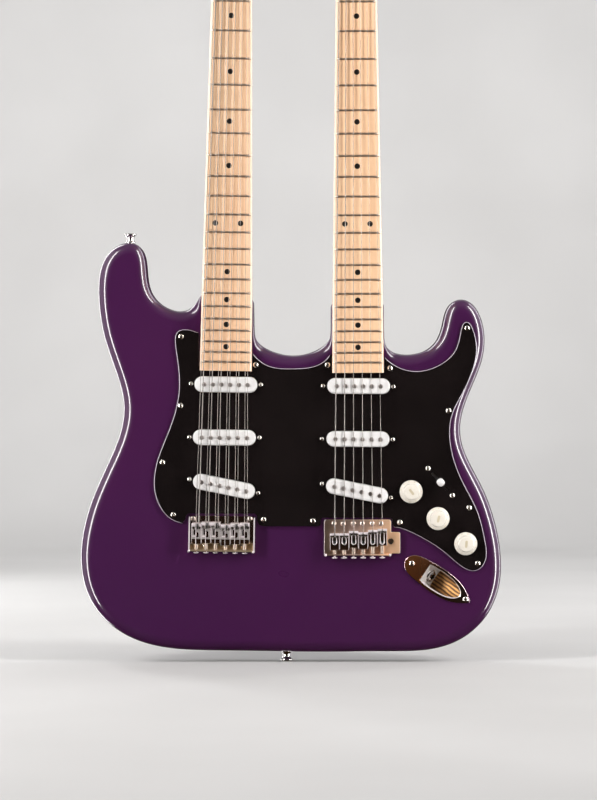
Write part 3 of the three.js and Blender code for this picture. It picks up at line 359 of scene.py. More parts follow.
def bake(ob):
    dg = bpy.context.evaluated_depsgraph_get()
    me = bpy.data.meshes.new_from_object(ob.evaluated_get(dg), preserve_all_data_layers=True, depsgraph=dg)
    old = ob.data
    ob.modifiers.clear()
    ob.data = me
    bpy.data.meshes.remove(old)


def boolean(ob, tool, op="DIFFERENCE", mats=None):
    t = raw("tool", tool if isinstance(tool, Geo) else Geo(tool), mats or list(ob.data.materials))
    mod = ob.modifiers.new("b", "BOOLEAN")
    mod.object, mod.operation, mod.solver = t, op, "EXACT"
    mod.material_mode = "TRANSFER" if mats else "INDEX"
    bake(ob)
    me = t.data
    bpy.data.objects.remove(t)
    bpy.data.meshes.remove(me)


def soften(ob, width_, segs=3, angle=38):
    """Rounds the sharp edges of a plain solid, before anything is cut out of it."""
    mod = ob.modifiers.new("soft", "BEVEL")
    mod.width, mod.segments, mod.limit_method, mod.angle_limit = width_ * MM, segs, "ANGLE", rad(angle)
    bake(ob)


def done(ob, body=GUITAR, slot=None, replaces=(), angle=35, bevel=0.0, segs=2):
    me = ob.data
    bm = bmesh.new()
    bm.from_mesh(me)
    for f in bm.faces:
        f.smooth = True
    for e in bm.edges:
        e.smooth = bool(bevel) or (len(e.link_faces) == 2 and e.calc_face_angle(0) < rad(angle))
    bm.to_mesh(me)
    bm.free()
    if bevel:
        mod = ob.modifiers.new("edges", "BEVEL")
        mod.width, mod.segments, mod.limit_method, mod.angle_limit, mod.harden_normals = bevel * MM, segs, "ANGLE", rad(angle), True
        bake(ob)
    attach(ob, body)
    if replaces:
        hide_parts(*replaces)
    return ob


def piece(name, geo, mats, body=GUITAR, slot=None, replaces=(), angle=35, bevel=0.0, segs=2):
    mats = mats if isinstance(mats, (list, tuple)) else [mats]
    return done(raw(name, geo, mats), body, slot, replaces, angle, bevel, segs)


# ------------------------------------------------------------------ materials
def material(name, color, rough=0.4, metal=0.0, coat=0.0, coat_rough=0.03, ior=1.5):
    m = bpy.data.materials.new(name)
    m.use_nodes = True
    b = m.node_tree.nodes["Principled BSDF"]
    b.inputs["Base Color"].default_value = (*color, 1)
    b.inputs["Roughness"].default_value = rough
    b.inputs["Metallic"].default_value = metal
    b.inputs["Coat Weight"].default_value = coat
    b.inputs["Coat Roughness"].default_value = coat_rough
    b.inputs["IOR"].default_value = ior
    return m, m.node_tree, b


def node(nt, kind, **settings):
    n = nt.nodes.new(kind)
    for k, v in settings.items():
        setattr(n, k, v)
    return n


def coords(nt, scale=(1, 1, 1)):
    t, m = node(nt, "ShaderNodeTexCoord"), node(nt, "ShaderNodeMapping")
    m.inputs["Scale"].default_value = scale
    nt.links.new(t.outputs["Object"], m.inputs["Vector"])
    return m.outputs["Vector"]


def noise(nt, vec, scale, detail=3.0, rough=0.5, distortion=0.0):
    n = node(nt, "ShaderNodeTexNoise")
    n.inputs["Scale"].default_value, n.inputs["Detail"].default_value = scale, detail
    n.inputs["Roughness"].default_value, n.inputs["Distortion"].default_value = rough, distortion
    nt.links.new(vec, n.inputs["Vector"])
    return n.outputs["Fac"]


def wave(nt, vec, scale, distortion=0.0, detail=2.0, direction="Z", profile="SIN"):
    n = node(nt, "ShaderNodeTexWave", wave_type="BANDS", bands_direction=direction, wave_profile=profile)
    n.inputs["Scale"].default_value, n.inputs["Distortion"].default_value, n.inputs["Detail"].default_value = scale, distortion, detail
    nt.links.new(vec, n.inputs["Vector"])
    return n.outputs["Fac"]


def ramp(nt, fac, stops):
    r = node(nt, "ShaderNodeValToRGB")
    while len(r.color_ramp.elements) < len(stops):
        r.color_ramp.elements.new(0.5)
    for e, (pos, col) in zip(r.color_ramp.elements, stops):
        e.position, e.color = pos, (*col, 1) if len(col) == 3 else (col[0], col[0], col[0], 1)
    nt.links.new(fac, r.inputs["Fac"])
    return r.outputs["Color"]


def spread(nt, fac, lo, hi):
    m = node(nt, "ShaderNodeMapRange")
    m.inputs["To Min"].default_value, m.inputs["To Max"].default_value = lo, hi
    nt.links.new(fac, m.inputs["Value"])
    return m.outputs["Result"]


def blend_colors(nt, a, b, fac, mode="MIX"):
    m = node(nt, "ShaderNodeMix", data_type="RGBA", blend_type=mode)
    for socket, value in ((m.inputs[6], a), (m.inputs[7], b), (m.inputs[0], fac)):
        if hasattr(value, "links") or isinstance(value, bpy.types.NodeSocket):
            nt.links.new(value, socket)
        else:
            socket.default_value = value
    return m.outputs[2]


def bump(nt, b, height, strength, distance, under=None):
    n = node(nt, "ShaderNodeBump")
    n.inputs["Strength"].default_value, n.inputs["Distance"].default_value = strength, distance
    nt.links.new(height, n.inputs["Height"])
    if under is not None:
        nt.links.new(under, n.inputs["Normal"])
    nt.links.new(n.outputs["Normal"], b.inputs["Normal"])
    return n.outputs["Normal"]


def lacquer():
    m, nt, b = material("purple lacquer", (0.053, 0.0075, 0.055), 0.3, coat=1.0, coat_rough=0.015)
    v = coords(nt)
    cloud = noise(nt, v, 5.0, 2.0)
    nt.links.new(ramp(nt, cloud, [(0.3, (0.044, 0.0062, 0.050)), (0.7, (0.053, 0.0078, 0.054))]), b.inputs["Base Color"])
    nt.links.new(spread(nt, noise(nt, v, 14.0, 1.0), 0.26, 0.32), b.inputs["Roughness"])
    sep, peel = node(nt, "ShaderNodeSeparateXYZ"), node(nt, "ShaderNodeMath", operation="MULTIPLY_ADD")
    nt.links.new(v, sep.inputs["Vector"])
    nt.links.new(sep.outputs["X"], peel.inputs[0])
    peel.inputs[1].default_value = 40.0
    nt.links.new(noise(nt, v, 25.0, 0.0), peel.inputs[2])
    bump(nt, b, peel.outputs[0], 0.015, 0.0004)
    return m


def raw_wood():
    m, nt, b = material("bare wood", (0.5, 0.33, 0.19), 0.7)
    v = coords(nt, (1, 1, 0.08))
    nt.links.new(ramp(nt, noise(nt, v, 140.0, 5.0), [(0.3, (0.42, 0.27, 0.15)), (0.7, (0.60, 0.42, 0.26))]), b.inputs["Base Color"])
    bump(nt, b, noise(nt, v, 400.0, 3.0), 0.2, 0.0005)
    return m


def maple(name="maple", pale=1.0):
    """Clear-lacquered maple; pale above 1 goes towards white, for the painted highlight on the rolled edges, below 1
    towards tan.
    """
    m, nt, b = material(name, (0.86, 0.55, 0.33), 0.36, coat=1.0, coat_rough=0.22)

    def tone(c):
        return tuple(min(0.97, v + (1 - v) * (pale - 1) * 2.2) if pale > 1 else v * pale for v in c)

    long = coords(nt, (1.0, 1.0, 0.035))
    streak = noise(nt, long, 95.0, 4.0, 0.55, 0.25)
    fine = noise(nt, coords(nt, (1.0, 1.0, 0.02)), 620.0, 3.0, 0.6)
    broad = noise(nt, coords(nt, (1.0, 1.0, 0.25)), 9.0, 2.0)
    base = ramp(nt, streak, [(0.28, tone((0.915, 0.59, 0.36))), (0.5, tone((0.95, 0.635, 0.40))), (0.75, tone((0.965, 0.665, 0.435)))])
    hue = blend_colors(nt, base, ramp(nt, broad, [(0.35, (0.985, 0.925, 0.91)), (0.65, (1.0, 1.0, 0.99))]), 1.0, "MULTIPLY")
    nt.links.new(blend_colors(nt, hue, ramp(nt, fine, [(0.35, (0.96, 0.94, 0.92)), (0.6, (1.0, 1.0, 1.0))]), 1.0, "MULTIPLY"), b.inputs["Base Color"])
    nt.links.new(spread(nt, streak, 0.3, 0.4), b.inputs["Roughness"])
    bump(nt, b, fine, 0.05, 0.0002)
    return m


def plastic(name, color, rough, variation=0.06, coat=0.0, grain=500.0, grain_strength=0.04):
    m, nt, b = material(name, color, rough, coat=coat)
    v = coords(nt)
    lo, hi = tuple(c * (1 - variation) for c in color), tuple(min(1, c * (1 + variation)) for c in color)
    nt.links.new(ramp(nt, noise(nt, v, 22.0, 3.0), [(0.3, lo), (0.7, hi)]), b.inputs["Base Color"])
    nt.links.new(spread(nt, noise(nt, v, 60.0, 4.0), rough * 0.85, rough * 1.2), b.inputs["Roughness"])
    bump(nt, b, noise(nt, v, grain, 2.0), grain_strength, 0.0002)
    return m


def metal(name, color, rough, smudge=0.35, grain=0.0, grain_scale=(1, 1, 1), dents=0.0):
    m, nt, b = material(name, color, rough, metal=1.0)
    v = coords(nt)
    nt.links.new(spread(nt, noise(nt, v, 70.0, 5.0, 0.6), rough * (1 - smudge), rough * (1 + smudge)), b.inputs["Roughness"])
    nt.links.new(ramp(nt, noise(nt, v, 30.0, 2.0), [(0.35, tuple(c * 0.94 for c in color)), (0.65, color)]), b.inputs["Base Color"])
    if grain:
        bump(nt, b, noise(nt, coords(nt, grain_scale), 900.0, 2.0), grain, 0.0001)
    elif dents:
        bump(nt, b, noise(nt, v, 90.0, 2.0), dents, 0.0003)
    return m


def wound():
    m, nt, b = material("wound string", (0.80, 0.78, 0.75), 0.4, metal=1.0)
    v = coords(nt)
    h = wave(nt, v, 560.0)
    # the colour is darker in the grooves between the wraps: painted shade
    nt.links.new(ramp(nt, h, [(0.1, (0.20, 0.185, 0.175)), (0.6, (0.42, 0.39, 0.365))]), b.inputs["Base Color"])
    bump(nt, b, h, 0.5, 0.00015)
    return m


LACQUER, BARE, MAPLE = lacquer(), raw_wood(), maple()
# paler maple for the rolled fingerboard edges: a painted highlight
EDGE_MAPLE = maple("maple edge", 1.12)
LINE_MAPLE = maple("maple edge line", 0.80)
GUARD = plastic("black guard", (0.0074, 0.0054, 0.0054), 0.16, 0.25, coat=0.0, grain=300.0, grain_strength=0.015)
PLY = plastic("white ply", (0.56, 0.49, 0.58), 0.35)
# near black for the walls of the saddles' slots, notches and screw holes: painted shade
HOLE_SHADE = plastic("hole and notch walls, painted shade", (0.010, 0.010, 0.010), 0.28, 0.2)
WHITE = plastic("white plastic", (0.80, 0.785, 0.775), 0.3, 0.03, coat=0.3)
KNOB_WHITE = plastic("knob plastic", (0.80, 0.75, 0.665), 0.27, 0.03, coat=0.3)
BONE = plastic("nut blank", (0.80, 0.74, 0.60), 0.35, 0.05)
DOT = plastic("fingerboard dot", (0.012, 0.010, 0.009), 0.3, 0.2)
GOLD_PRINT = plastic("dial marking", (0.56, 0.44, 0.27), 0.45, 0.1)
POINTER = plastic("dial pointer", (0.58, 0.50, 0.35), 0.4, 0.1)
CHROME = metal("chrome", (0.82, 0.80, 0.785), 0.08, dents=0.03)
# its warm tan is a painted reflection of warm surroundings
SATIN = metal("satin chrome", (0.86, 0.70, 0.58), 0.42, 0.15, grain=0.12, grain_scale=(1, 1, 0.05))


def plate_metal(name, axis, stops, roughs, lo, hi):
    """Metal whose colour and roughness change along one axis, between lo and hi metres; the colour gradient is a
    painted reflection of the warm surroundings.
    """
    m, nt, b = material(name, (0.8, 0.7, 0.6), 0.3, metal=1.0)
    sep = node(nt, "ShaderNodeSeparateXYZ")
    nt.links.new(coords(nt), sep.inputs["Vector"])
    t = node(nt, "ShaderNodeMapRange")
    t.inputs["From Min"].default_value, t.inputs["From Max"].default_value = lo, hi
    nt.links.new(sep.outputs[axis], t.inputs["Value"])
    wobble = node(nt, "ShaderNodeMath", operation="MULTIPLY_ADD")
    nt.links.new(noise(nt, coords(nt), 60.0, 3.0), wobble.inputs[0])
    wobble.inputs[1].default_value = 0.16
    nt.links.new(t.outputs["Result"], wobble.inputs[2])
    nt.links.new(ramp(nt, wobble.outputs[0], stops), b.inputs["Base Color"])
    nt.links.new(ramp(nt, wobble.outputs[0], roughs), b.inputs["Roughness"])
    bump(nt, b, noise(nt, coords(nt, (1, 1, 0.05)), 900.0, 2.0), 0.08, 0.0001)
    return m


# the colour gradients along these plates are painted reflections of the warm surroundings
TREM_PLATE = plate_metal("tremolo plate, painted reflection", "X", [(0.02, (0.38, 0.27, 0.20)), (0.22, (0.55, 0.39, 0.30)), (0.5, (0.80, 0.58, 0.49)), (0.85, (0.90, 0.61, 0.41)), (1.0, (0.92, 0.63, 0.41))], [(0.05, (0.36,)), (0.6, (0.45,)), (0.95, (0.66,))], 0.041, 0.124)
TRAY = plate_metal("tray, painted reflection", "Z", [(0.0, (0.90, 0.72, 0.48)), (0.34, (0.80, 0.62, 0.42)), (0.5, (0.72, 0.62, 0.56)), (1.0, (0.80, 0.70, 0.66))], [(0.28, (0.46,)), (0.45, (0.12,)), (1.0, (0.10,))], 0.119, 0.160)
# a bright, part-metallic material for edges, posts, screw heads and string ends: a painted highlight
EDGE_HIGHLIGHT = metal("bright edge, painted highlight", (0.84, 0.76, 0.78), 0.42, 0.15)
EDGE_HIGHLIGHT.node_tree.nodes["Principled BSDF"].inputs["Metallic"].default_value = 0.4
# a warmer bright material for right-facing edges: a painted highlight
WARM_EDGE = metal("warm edge, painted highlight", (0.97, 0.83, 0.73), 0.5, 0.15)
WARM_EDGE.node_tree.nodes["Principled BSDF"].inputs["Metallic"].default_value = 0.1


def scoop_floor():
    m, nt, b = material("scoop floor", (0.8, 0.5, 0.2), 0.55, metal=0.85)
    t, r = node(nt, "ShaderNodeTexCoord"), node(nt, "ShaderNodeMapping")
    r.inputs["Rotation"].default_value = (0, math.atan2(-JACK[3], JACK[2]) * -1, 0)
    nt.links.new(t.outputs["Object"], r.inputs["Vector"])
    h = wave(nt, r.outputs["Vector"], 84.0, 2.4, 2.0)
    # the brown and gold colour bands are a painted reflection; the same bands make the ridges of the bump
    nt.links.new(ramp(nt, h, [(0.15, (0.14, 0.075, 0.04)), (0.5, (0.38, 0.20, 0.075)), (0.9, (0.64, 0.36, 0.135))]), b.inputs["Base Color"])
    nt.links.new(spread(nt, noise(nt, coords(nt), 80.0, 3.0), 0.52, 0.64), b.inputs["Roughness"])
    bump(nt, b, h, 0.25, 0.0003)
    return m


SCOOP = scoop_floor()
# the orange to grey gradient along the plate is a painted reflection
JACK_PLATE = plate_metal("jack plate, painted reflection", "X", [(0.0, (1.0, 0.36, 0.11)), (0.45, (0.95, 0.40, 0.18)), (0.7, (0.7, 0.5, 0.42)), (1.0, (0.80, 0.76, 0.76))], [(0.1, (0.30,)), (0.5, (0.26,)), (0.8, (0.14,))], 0.130, 0.196)
NICKEL = metal("nickel", (0.84, 0.80, 0.74), 0.26)
CAST = metal("cast chrome", (0.95, 0.92, 0.88), 0.5, 0.15)
CAST_DULL = metal("cast chrome, dull", (0.90, 0.88, 0.86), 0.5, 0.2, dents=0.3)
CAST_DULL.node_tree.nodes["Principled BSDF"].inputs["Metallic"].default_value = 0.6
# a darker metal for the saddles' shaded lower ends and sloping fronts: painted shade
SADDLE_SHADE = metal("saddle, painted shade", (0.52, 0.48, 0.46), 0.5, 0.2, dents=0.3)
SADDLE_SHADE.node_tree.nodes["Principled BSDF"].inputs["Metallic"].default_value = 0.6
SPRING = metal("saddle spring", (0.62, 0.53, 0.45), 0.5, 0.15)
DULL_SCREW = metal("dull screw", (0.56, 0.49, 0.44), 0.32)
# a dark pinkish tint for the jack plate's rounded rim: a painted reflection of the purple lacquer
RIM = metal("jack plate rim", (0.50, 0.375, 0.41), 0.2)
PLATE = metal("neck plate", (0.80, 0.78, 0.76), 0.4, 0.15, grain=0.1, grain_scale=(1, 1, 0.05))
PLATE.node_tree.nodes["Principled BSDF"].inputs["Metallic"].default_value = 0.7
FRET = metal("fret wire", (0.66, 0.52, 0.41), 0.42, 0.15)
STEEL = metal("steel", (0.56, 0.55, 0.53), 0.3, grain=0.15, grain_scale=(1, 0.1, 1))
POLE = metal("pole piece", (0.56, 0.50, 0.48), 0.42, grain=0.2)
BRASS = metal("brass", (0.70, 0.52, 0.26), 0.25)
WIRE = metal("plain string", (0.40, 0.37, 0.345), 0.36, 0.1)
WOUND = wound()

for n in ("control_pots", "tremolo_block", "truss_rod_12", "truss_rod_6"):
    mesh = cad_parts[n].data
    mesh.materials.clear()
    mesh.materials.append(STEEL)


# ------------------------------------------------------------------ screws
_heads = {}


def phillips(r, dome, flush=0.5):
    """A domed head with a cross recess about local z, standing on z = 0."""
    key = (r, dome)
    if key not in _heads:
        prof = [(0, dome), (r * 0.3, dome * 0.97), (r * 0.55, dome * 0.83), (r * 0.76, dome * 0.6), (r * 0.92, dome * 0.3), (r, 0.08), (r, -flush), (0, -flush)]
        ob = raw("head", Geo(lathe(prof, 24)), [CHROME])
        w, l, d = r * 0.15, r * 0.56, dome * 0.75
        cross = Geo()
        for turn in (0, 1):
            pts = [(-l, -w), (l, -w), (l, w), (-l, w)] if not turn else [(-w, -l), (w, -l), (w, l), (-w, l)]
            low = [(x * 0.45 if abs(x) > w * 1.01 else x * 0.8, y * 0.45 if abs(y) > w * 1.01 else y * 0.8, dome - d) for x, y in pts]
            part = Geo(loft([low, [(x, y, dome + 1) for x, y in pts]]))
            boolean(ob, part)
        _heads[key] = ([tuple(c / MM for c in v.co) for v in ob.data.vertices], [tuple(p.vertices) for p in ob.data.polygons])
        me = ob.data
        bpy.data.objects.remove(ob)
        bpy.data.meshes.remove(me)
    return _heads[key]


rnd = random.Random(7)


def screws(name, places, r, dome, mats, body=GUITAR, slot="chrome", place=on_top, h=0.0):
    g = Geo()
    for x, z in places:
        g.add(phillips(r, dome), 0, place(x, z, h, rnd.uniform(0, math.pi)))
    return piece(name, g, mats, body, slot, angle=40)


# ------------------------------------------------------------------ body
def body():
    a, m = spline(OUTER, 1.6), spline(MIDDLE, 1.6)
    s12, s6 = straight(SHELF12, 1.2), straight(SHELF6, 1.2)

    def fade(n):  # the roundover shrinks towards the neck shelves
        d = np.minimum(np.arange(n), np.arange(n)[::-1]) * 1.6
        return np.array([2.2 + (ROUND - 2.2) * smoothstep(x / 19.0) for x in d])

    outline = np.concatenate([a, s12, m, s6])
    r = np.concatenate([fade(len(a)), np.full(len(s12), 2.2), fade(len(m)), np.full(len(s6), 2.2)])
    soft = np.where(r > 12.0, 4.0, np.where(r > 4, 2.2, 1.1))
    soft = average(soft[:, None] * np.ones((1, 2)), np.full(len(soft), 3.0))[:, 0]
    first = average(outline, soft)
    gain = np.array([smoothstep((x - 6) / 6) for x in r])
    outline = first + average(outline - first, soft) * gain[:, None]
    nrm = inward(outline)
    rings, steps = [], 9
    flat_in = r + 0.6
    rings.append([(p[0] + n[0] * f, FRONT, p[1] + n[1] * f) for p, n, f in zip(outline, nrm, flat_in)])
    for k in range(steps + 1):
        t = math.pi / 2 * k / steps
        rings.append([(p[0] + n[0] * q * (1 - math.sin(t)), FRONT + q * (1 - math.cos(t)), p[1] + n[1] * q * (1 - math.sin(t))) for p, n, q in zip(outline, nrm, r)])
    back = [[(x, -y, z) for x, y, z in ring] for ring in reversed(rings)]
    g = Geo(loft(rings + back))
    ob = raw("body_wood", g, [LACQUER, BARE])
    cut = [BARE]

    def pocket(N, M):
        e, t = N["heel"] - 0.3, 416
        return Geo(loft([[(-width(N, e) / 2 - 0.25, y, e), (width(N, e) / 2 + 0.25, y, e), (width(N, t) / 2 + 0.25, y, t), (-width(N, t) / 2 - 0.25, y, t)] for y in (FRONT - 2, FRONT + 16.1)]), 0, M)

    tools = [
        pocket(NECK12, F12), pocket(NECK6, F6),
        Geo(box(-109, -27, FRONT - 1, FRONT + 19, 178, 317)), Geo(box(36, 119, FRONT - 1, FRONT + 19, 171, 315)),
        Geo(box(-28, 38, FRONT - 1, FRONT + 10, 238, 252)),
        Geo(prism([(118, 196), (140, 208), (150, 228), (160, 226), (192, 190), (206, 150), (209, 128), (200, 117), (188, 117), (150, 146), (118, 176)], FRONT - 1, FRONT + 38)),
        Geo(box(43.4, 113.4, FRONT - 1, BACK + 1, 118.6, 150)), Geo(box(112, 121.6, FRONT - 1, -2, 121, 141.6)),
        Geo(prism(rounded(rect(47, 110, 149, 262), 5), BACK - 17, BACK + 1)),
        Geo(flat([(5, -9), (17, -12.2), (30, -12.7), (45, -12.0), (56, -9.2), (62, -5.6), (65.6, -1.5), (65.6, 1.5), (62, 5.6), (56, 9.2), (45, 12.0), (30, 12.7), (17, 12.2), (5, 9)], -26, 3), 0, JACK_M),
    ]
    for t in tools:
        boolean(ob, t, mats=cut)
    return done(ob, slot="purple_lacquer", replaces=["body"], angle=30)


# ------------------------------------------------------------------ jack plate in its own frame: x along, y across, z out of the body
ja, jb = JACK[2] / math.hypot(JACK[2], JACK[3]), JACK[3] / math.hypot(JACK[2], JACK[3])
JACK_M = Matrix(((ja, -jb, 0, JACK[0]), (0, 0, -1, FRONT), (jb, ja, 0, JACK[1]), (0, 0, 0, 1)))


def boat(stations, step=1.2):
    top = spline([(a, h) for a, h in stations], step)
    top[:, 1] = np.maximum(top[:, 1], 0)
    top[0, 1] = top[-1, 1] = 0
    return [tuple(p) for p in top] + [(p[0], -p[1]) for p in top[-2:0:-1]]


def jack_plate():
    out = boat([(-8.2, 0), (-7.6, 3.2), (-5.4, 6.9), (0, 10.8), (8, 12.8), (20, 14.1), (36, 14.8), (47, 13.9), (57, 11.9), (65, 8.5), (71, 5.0), (75, 2.0), (76.4, 0)])
    p = np.array(out)
    area = np.sum(p[:, 0] * np.roll(p[:, 1], -1) - np.roll(p[:, 0], -1) * p[:, 1])
    if area > 0:
        p = p[::-1]
    n = inward(p)
    rings = [[(x, y, 0.3) for x, y in p]]
    for k in range(5):
        t = math.pi / 2 * k / 4
        q = p + n * 1.0 * (1 - math.cos(t))
        rings.append([(x, y, 0.75 + 0.85 * math.sin(t)) for x, y in q])
    ob = raw("jack_plate_metal", Geo(loft(rings)), [JACK_PLATE])

    def half(a):  # the scoop's half-width along the plate
        return float(np.interp(a, [17.4, 20, 24, 30, 36, 42, 48, 53, 57, 60, 62.4, 63.6, 64.2], [10.3, 10.9, 11.3, 11.6, 11.6, 11.3, 10.5, 9.2, 7.5, 5.6, 3.4, 1.6, 0.35]))

    a0, a1 = 17.4, 64.2
    stations = [a0 + (a1 - a0) * i / 96 for i in range(97)]
    rim = [(a, half(a)) for a in stations] + [(a, -half(a)) for a in reversed(stations)]
    boolean(ob, Geo(flat(rim, -3, 4)))

    def depth(a, t):
        wall = (a - a0) * 22.8 / 13.4
        floor = (a1 - a) * 23.4 / 33.0 * max(0.0, 1 - abs(t) ** 2.7) ** (1 / 2.1)
        k = 0.45
        m = min(wall, floor)
        return max(0.0, m - k * math.log(math.exp(-(wall - m) / k) + math.exp(-(floor - m) / k)) + k * math.log(2) * math.exp(-m / 0.8))

    rows = []
    for a in stations:
        w = half(a)
        ts = [math.sin(math.pi / 2 * (-1 + j / 22)) for j in range(45)]
        rows.append([(a, t * w, 1.22 - depth(a, t)) for t in ts] + [(a, t * (w + 0.0), 0.35 - depth(a, t)) for t in reversed(ts)])
    shell = raw("jack_scoop_metal", Geo(loft(rows)), [CHROME])
    W = Vector((0.861, 0, 0.508))
    along = Matrix.Translation((25.4, 0, -11.4)) @ W.to_track_quat("Z", "Y").to_matrix().to_4x4()
    boolean(shell, Geo(rod(5.1, -6, 6, 32), 0, along))
    shell.data.materials.clear()
    shell.data.materials.append(CAST_DULL)
    shell.data.materials.append(SCOOP)
    for q in shell.data.polygons:
        q.material_index = 0
        c = q.center / MM
        if (c.x - a0) * 22.8 / 13.4 > (a1 - c.x) * 23.4 / 33.0 + 0.8 and abs(c.y) < half(c.x) - 0.7 and c.x < 62.6:
            q.material_index = 1
    # the rounded rim faces get the pinkish tint, a painted reflection of the purple lacquer
    ob.data.materials.append(RIM)
    for q in ob.data.polygons:
        if 0.1 < q.normal.z < 0.97:
            q.material_index = len(ob.data.materials) - 1
    for part, kw in ((ob, dict(bevel=0.28, replaces=["jack_plate"], angle=40)), (shell, dict(angle=38))):
        part.data.transform(Matrix.Diagonal((1 / MM, 1 / MM, 1 / MM, 1)))
        part.data.transform(Matrix.Diagonal((MM, MM, MM, 1)) @ JACK_M)
        done(part, slot="chrome", **kw)
    # a bead along the scoop's lower rim in the bright edge material: a painted highlight
    lip = [(a, -half(a) + 0.1, 1.3) for a in stations if 17.8 < a < 62.8]
    piece("jack_scoop_lip", Geo(tube(lip, [0.25 + 0.4 * smoothstep(min(i, len(lip) - 1 - i) / 8) for i in range(len(lip))], 10), 0, JACK_M), EDGE_HIGHLIGHT, slot="chrome")
    M = JACK_M @ along
    ring = [(3.2, -13), (4.6, -13), (4.6, -4.4), (7.2, -4.4), (7.2, -2.5), (4.55, -2.5), (4.55, 3.0), (4.3, 3.3), (3.45, 3.3), (3.2, 3.0), (3.2, -13)]
    v, f = lathe(ring[:-1], 40)
    f += [((len(ring) - 2) * 40 + i, (len(ring) - 2) * 40 + (i + 1) % 40, (i + 1) % 40, i) for i in range(40)]
    g = Geo((v, f), 0, M)
    nut = raw("jack_nut", Geo(lathe([(0, -0.35), (6.9, -0.35), (7.2, -0.1), (7.2, 0.1), (6.9, 0.35), (0, 0.35)], 36)), [CHROME])
    hexa = [(6.35 * math.cos(rad(60 * i + 12)), 6.35 * math.sin(rad(60 * i + 12))) for i in range(6)]
    boolean(nut, Geo(flat(hexa, 0.2, 2.4)), "UNION")
    boolean(nut, Geo(rod(4.75, -2, 4, 32)))
    nut.data.transform(Matrix.Diagonal((1 / MM, 1 / MM, 1 / MM, 1)))
    nut.data.transform(Matrix.Diagonal((MM, MM, MM, 1)) @ M)
    done(nut, slot="chrome", bevel=0.15, angle=30)
    piece("jack_barrel", g, CHROME, slot="chrome", replaces=["output_jack"])
    g = Geo()
    for x in (0, 71):
        g.add(phillips(3.1, 1.3), 0, JACK_M @ Matrix.Translation((x, 0, 1.6)) @ Matrix.Rotation(0.4 + x, 4, "Z"))
    piece("jack_plate_screws", g, NICKEL, slot="chrome", angle=40)


# ------------------------------------------------------------------ pickguard
def guard():
    e12, e6 = NECK12["heel"] - 0.6, NECK6["heel"] - 0.6
    parts = [spline(GUARD_LEFT, 1.2), straight(GUARD_BRIDGES, 1.0), spline(GUARD_RIGHT, 1.2), straight([(107.6, 334.4), (107.6, e6), (49.3, e6), (49.3, 338.0)], 1.2), spline(GUARD_EDGE, 1.2), straight([(-37.2, 339.0), (-37.2, e12), (-96.1, e12), (-96.1, 360.2)], 1.2)]
    outline = np.concatenate(parts)
    sig = np.concatenate([np.full(len(p), s) for p, s in zip(parts, (1.4, 1.2, 1.6, 0.3, 2.4, 0.3))])
    slope = np.concatenate([np.full(len(p), s) for p, s in zip(parts, (1.0, 0.0, 1.0, 0.0, 1.0, 0.0))])
    # the bevel runs out towards a straight-cut edge
    n_pts = len(outline)
    cut_at = np.where(slope < 0.5)[0]
    gap = np.array([min(min(abs(i - c), n_pts - abs(i - c)) for c in cut_at) for i in range(n_pts)]) * 1.2
    share = slope * np.array([0.03 + 0.97 * smoothstep((g - 0.5) / 5.5) for g in gap]) + (1 - slope) * 0.03
    share = average(share[:, None] * np.ones((1, 2)), np.full(n_pts, 0.6))[:, 0]
    outline = relax(outline, sig)
    area = np.sum(outline[:, 0] * np.roll(outline[:, 1], -1) - np.roll(outline[:, 0], -1) * outline[:, 1])
    if area > 0:
        outline, share = outline[::-1], share[::-1]
    n = inward(outline)
    top = FRONT - GUARD_H
    rings = []
    for i, d, floor_d in [(1.45, 0.0, 0.0), (1.08, 0.5, 0.55), (0.48, 1.4, 0.95), (0.0, 2.3, 2.3)]:
        rings.append([(x, top + d * k + floor_d * (1 - k), z) for (x, z), k in zip(outline + n * (i * share)[:, None], share)])
    v, f = loft(rings)
    k = len(outline)
    mats = [0] * k + [1] * k + [0] * k + [0, 0]
    g = Geo()
    g.v, g.f, g.m = v, f, mats
    ob = raw("pickguard_sheet", g, [GUARD, PLY])
    hole = [GUARD]
    for x, z, deg, _ in PICKUPS.values():
        M = Matrix.Translation((x, 0, z)) @ Matrix.Rotation(rad(deg), 4, "Y")
        boolean(ob, Geo(prism([(a, b + 0.3) for a, b in pill(69.0 + 0.8, 17.0 + 0.8, 12)], -32, -18), 0, M), mats=hole)
    sx, sz, dx, dz = SELECTOR
    slot = [(-13.2, -1.4), (13.2, -1.4), (13.2, 1.4), (-13.2, 1.4)]
    boolean(ob, Geo(prism([(sx + a * dx - b * dz, sz + a * dz + b * dx) for a, b in slot], -32, -18)), mats=hole)
    for x, z, _ in KNOBS.values():
        boolean(ob, Geo(rod(5.0, -32, -18, 24), 0, Matrix.Translation((x, 0, z)) @ Matrix.Rotation(rad(90), 4, "X") @ Matrix.Translation((0, 0, 50))), mats=hole)
    done(ob, slot="black_plastic", replaces=["pickguard"], angle=28)
    places = [(181.1,336.5),(180.6,405.4),(162.5,462.1),(173.3,514.5),(255.7,364.7),(327.5,364.7),(390,368),(467,328),(448.5,410.5),(469,507.5),(477.6,563.2),(399.7,522.1),(312.9,520.6),(263.6,519.5)]
    screws("pickguard_screws", [px(*p) for p in places], 3.0, 1.35, NICKEL, h=GUARD_H)
    screws("selector_screws", [(155.4, 212.9), (182.1, 183.2)], 2.9, 1.3, NICKEL, h=GUARD_H)


